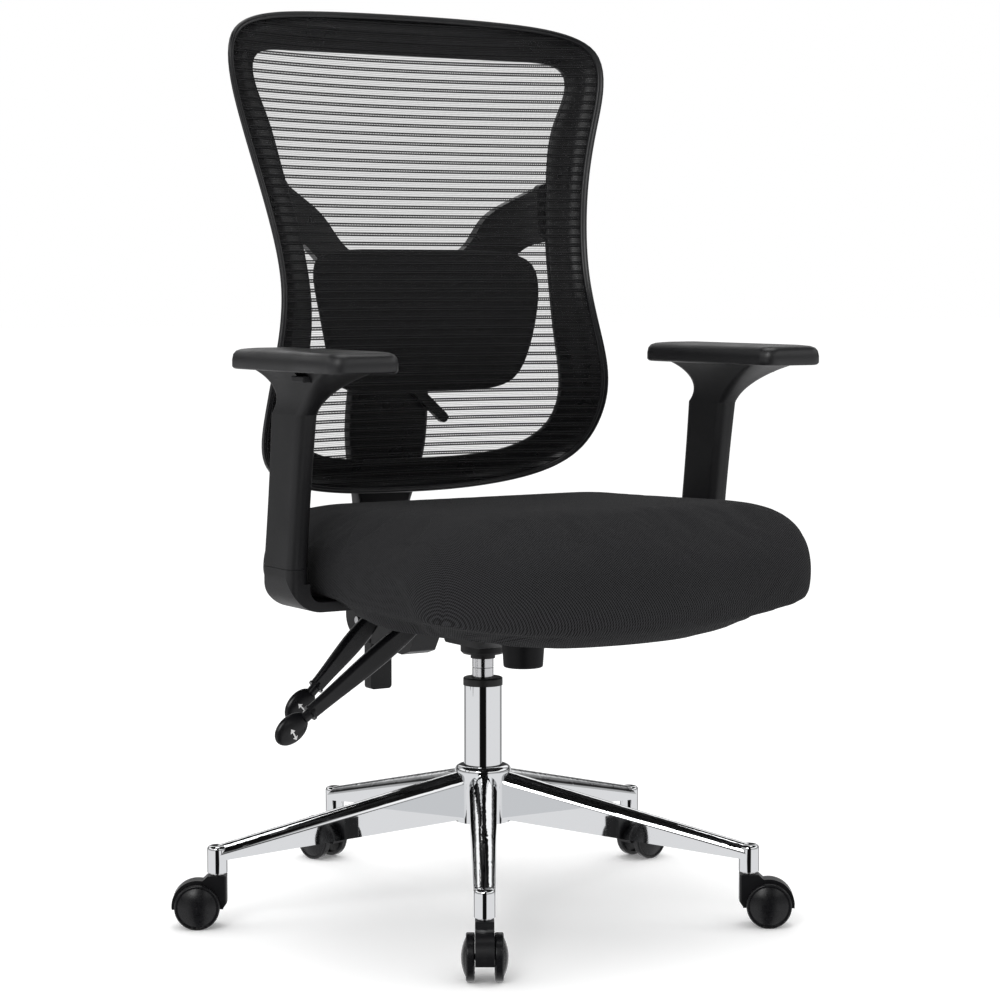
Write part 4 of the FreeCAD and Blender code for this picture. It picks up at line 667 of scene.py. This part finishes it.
# ------------------------------------------------------------------ lumbar support
# Foam pad in knitted spacer cloth on a moulded plate behind the net, pushed forward by a cam
# lever.
LUMBAR_EDGE = ((0, 853), (70, 853), (130, 852), (170, 841), (172, 803), (165, 764), (156, 722),
               (140, 671), (90, 664), (0, 664))
LUMBAR_HEART = (0.0, 760.0)
SPACER_PITCH = 0.0042
LUMBAR_POINTS = 120
spacer = Finish("spacer_cloth", roughness=0.8, specular_ior_level=0.15, sheen_weight=0.04,
                sheen_roughness=0.5)
x, y, z = spacer.axes()
dots = (x * (2 * math.pi / SPACER_PITCH)).sine() * (z * (2 * math.pi / SPACER_PITCH)).sine()
shaded_holes = dots.step(0.25, 0.7)
# The knit's holes are real, and their near-black colour is painted shade inside them.
spacer.feed("Base Color", spacer.mix(shaded_holes, (0.017, 0.017, 0.018), (0.002, 0.002, 0.002)))
spacer.bump(1.0 - shaded_holes, 0.0009)
spacer.feed("Roughness", spacer.noise(60.0, 2.0) * 0.2 + 0.7)
pad_outer = by_angle(smooth_edge(LUMBAR_EDGE), LUMBAR_HEART, LUMBAR_POINTS)
lumbar_heart = np.array(LUMBAR_HEART)


def pad_loop(inset_share, behind):
    flat = lumbar_heart + (pad_outer - lumbar_heart) * inset_share
    return on_back(flat, behind)


lumbar_loops = [pad_loop(s, b) for s, b in (
    (0.04, 4.2), (0.3, 4.2), (0.6, 4.3), (0.85, 4.6), (0.93, 5.2), (0.975, 6.6), (0.995, 8.8),
    (1.0, 11.5), (0.995, 14.2), (0.975, 16.4), (0.94, 17.8), (0.9, 18.4), (0.5, 18.4),
    (0.04, 18.4))]
lumbar = mesh_object("lumbar_cushion", *stacked([[tuple(p) for p in loop]
                                                for loop in lumbar_loops]), spacer)
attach(lumbar, "lumbar")
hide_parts("lumbar_pad")
dress(frame_black, "lumbar_plate", "lumbar_lever")

# ------------------------------------------------------------------ studio
# White floor and white air, with a dome round them that only reflections see. It is lit low
# down and in a ring above, and its dark parts draw the black lines in the chrome. The dome's
# bands are given in degrees above the middle, or away from the side across the view.
CAMERA_AZIMUTH = -31.3
FLOOR_HALF = 40
DOME_R = 8.0
DOME_Z = 0.25
CAMERA_DARK = (67, 73)
REAR_DARK = (60, 54, 38, 30)
CEILING_DARK = (36, 42)
LOW_LINE = (7, 9, 14, 17)
RING_LIT = (17, 22)
WALL_LIT = (8, 3)
paper = Finish("studio_paper", base_color=(0.95, 0.95, 0.95), roughness=0.9,
               specular_ior_level=0.0, emission_color=(1.0, 1.0, 1.0), emission_strength=0.12)
floor = mesh_object("floor", [(-FLOOR_HALF, -FLOOR_HALF, 0), (FLOOR_HALF, -FLOOR_HALF, 0),
                              (FLOOR_HALF, FLOOR_HALF, 0), (-FLOOR_HALF, FLOOR_HALF, 0)],
                    [(0, 1, 2, 3)], paper)
floor.visible_glossy = False
world = bpy.data.worlds.new("studio")
world.use_nodes = True
world.node_tree.nodes["Background"].inputs["Color"].default_value = (1, 1, 1, 1)
world.node_tree.nodes["Background"].inputs["Strength"].default_value = 1.0
bpy.context.scene.world = world
bpy.context.scene.view_settings.view_transform = "Standard"


def softbox(name, at, aim, size, power):
    lamp = bpy.data.lights.new(name, "AREA")
    lamp.shape = "RECTANGLE"
    lamp.size, lamp.size_y = size
    lamp.energy = power
    made = bpy.data.objects.new(name, lamp)
    bpy.context.scene.collection.objects.link(made)
    made.location = at
    made.rotation_euler = (Vector(aim) - Vector(at)).to_track_quat("-Z", "Y").to_euler()


softbox("key", (-3.2, -2.6, 3.0), (0, 0, 0.6), (1.6, 2.2), 55)
softbox("top", (0.3, 0.2, 3.6), (0, 0, 0.5), (2.4, 2.4), 40)


def sine_of(degrees):
    return math.sin(math.radians(degrees))


dome_light = Finish("dome_light", base_color=(0.0, 0.0, 0.0), roughness=1.0,
                    specular_ior_level=0.0, emission_strength=1.0)
x, y, z = dome_light.axes()
across = dome_light.maths("SQRT", x * x + y * y).larger(0.001)
front = math.radians(CAMERA_AZIMUTH)
facing = (x * math.sin(front) - y * math.cos(front)) / across
up = z / DOME_R
behind_camera = facing.step(sine_of(CAMERA_DARK[0]), sine_of(CAMERA_DARK[1]))
rear = (facing.step(-sine_of(REAR_DARK[0]), -sine_of(REAR_DARK[1]))
        * (1.0 - facing.step(-sine_of(REAR_DARK[2]), -sine_of(REAR_DARK[3]))))
ceiling = up.step(sine_of(CEILING_DARK[0]), sine_of(CEILING_DARK[1]))
low_line = (up.step(sine_of(LOW_LINE[0]), sine_of(LOW_LINE[1]))
            * (1.0 - up.step(sine_of(LOW_LINE[2]), sine_of(LOW_LINE[3]))))
ring_light = up.step(sine_of(RING_LIT[0]), sine_of(RING_LIT[1]))
wall = up.step(-sine_of(WALL_LIT[0]), -sine_of(WALL_LIT[1])) * (1.0 - ring_light)
glow = dome_light.mix(wall * 0.6, (0.86, 0.86, 0.87), (0.2, 0.2, 0.2))
glow = dome_light.mix(ring_light, glow, (1.15, 1.15, 1.15))
glow = dome_light.mix(rear * 0.75, glow, (0.1, 0.1, 0.1))
glow = dome_light.mix(behind_camera.larger(ceiling).larger(low_line * 0.9), glow,
                      (0.006, 0.006, 0.006))
dome_light.feed("Emission Color", glow)
DOME_ROWS = 32
DOME_COLUMNS = 64
dome_points = []
for i in range(DOME_ROWS + 1):
    rise = math.pi * (i / DOME_ROWS - 0.5)
    for j in range(DOME_COLUMNS):
        turn = 2 * math.pi * j / DOME_COLUMNS
        dome_points.append((DOME_R * math.cos(rise) * math.cos(turn),
                            DOME_R * math.cos(rise) * math.sin(turn), DOME_R * math.sin(rise)))
dome_faces = [(i * DOME_COLUMNS + j, i * DOME_COLUMNS + (j + 1) % DOME_COLUMNS,
               (i + 1) * DOME_COLUMNS + (j + 1) % DOME_COLUMNS, (i + 1) * DOME_COLUMNS + j)
              for i in range(DOME_ROWS) for j in range(DOME_COLUMNS)]
dome = mesh_object("reflection_dome", dome_points, dome_faces, dome_light)
dome.location = (0, 0, DOME_Z)
dome.visible_camera = False
dome.visible_diffuse = False
dome.visible_shadow = False
dome.visible_transmission = False

CAMERA_DISTANCE = 3.44
CAMERA_HEIGHT = 0.812
PITCH = -4.68
YAW = 0.368
FOCAL = 96.55
toward = Vector((-math.sin(front), math.cos(front), 0))
right = Vector((math.cos(front), math.sin(front), 0))
level = toward * math.cos(math.radians(YAW)) + right * math.sin(math.radians(YAW))
look = level * math.cos(math.radians(PITCH)) + Vector((0, 0, math.sin(math.radians(PITCH))))
lens = bpy.data.cameras.new("camera")
lens.lens = FOCAL
lens.sensor_width = 36.0
camera = bpy.data.objects.new("camera", lens)
bpy.context.scene.collection.objects.link(camera)
camera.location = (math.sin(front) * CAMERA_DISTANCE, -math.cos(front) * CAMERA_DISTANCE,
                   CAMERA_HEIGHT)
camera.rotation_euler = look.to_track_quat("-Z", "Y").to_euler()
bpy.context.scene.camera = camera
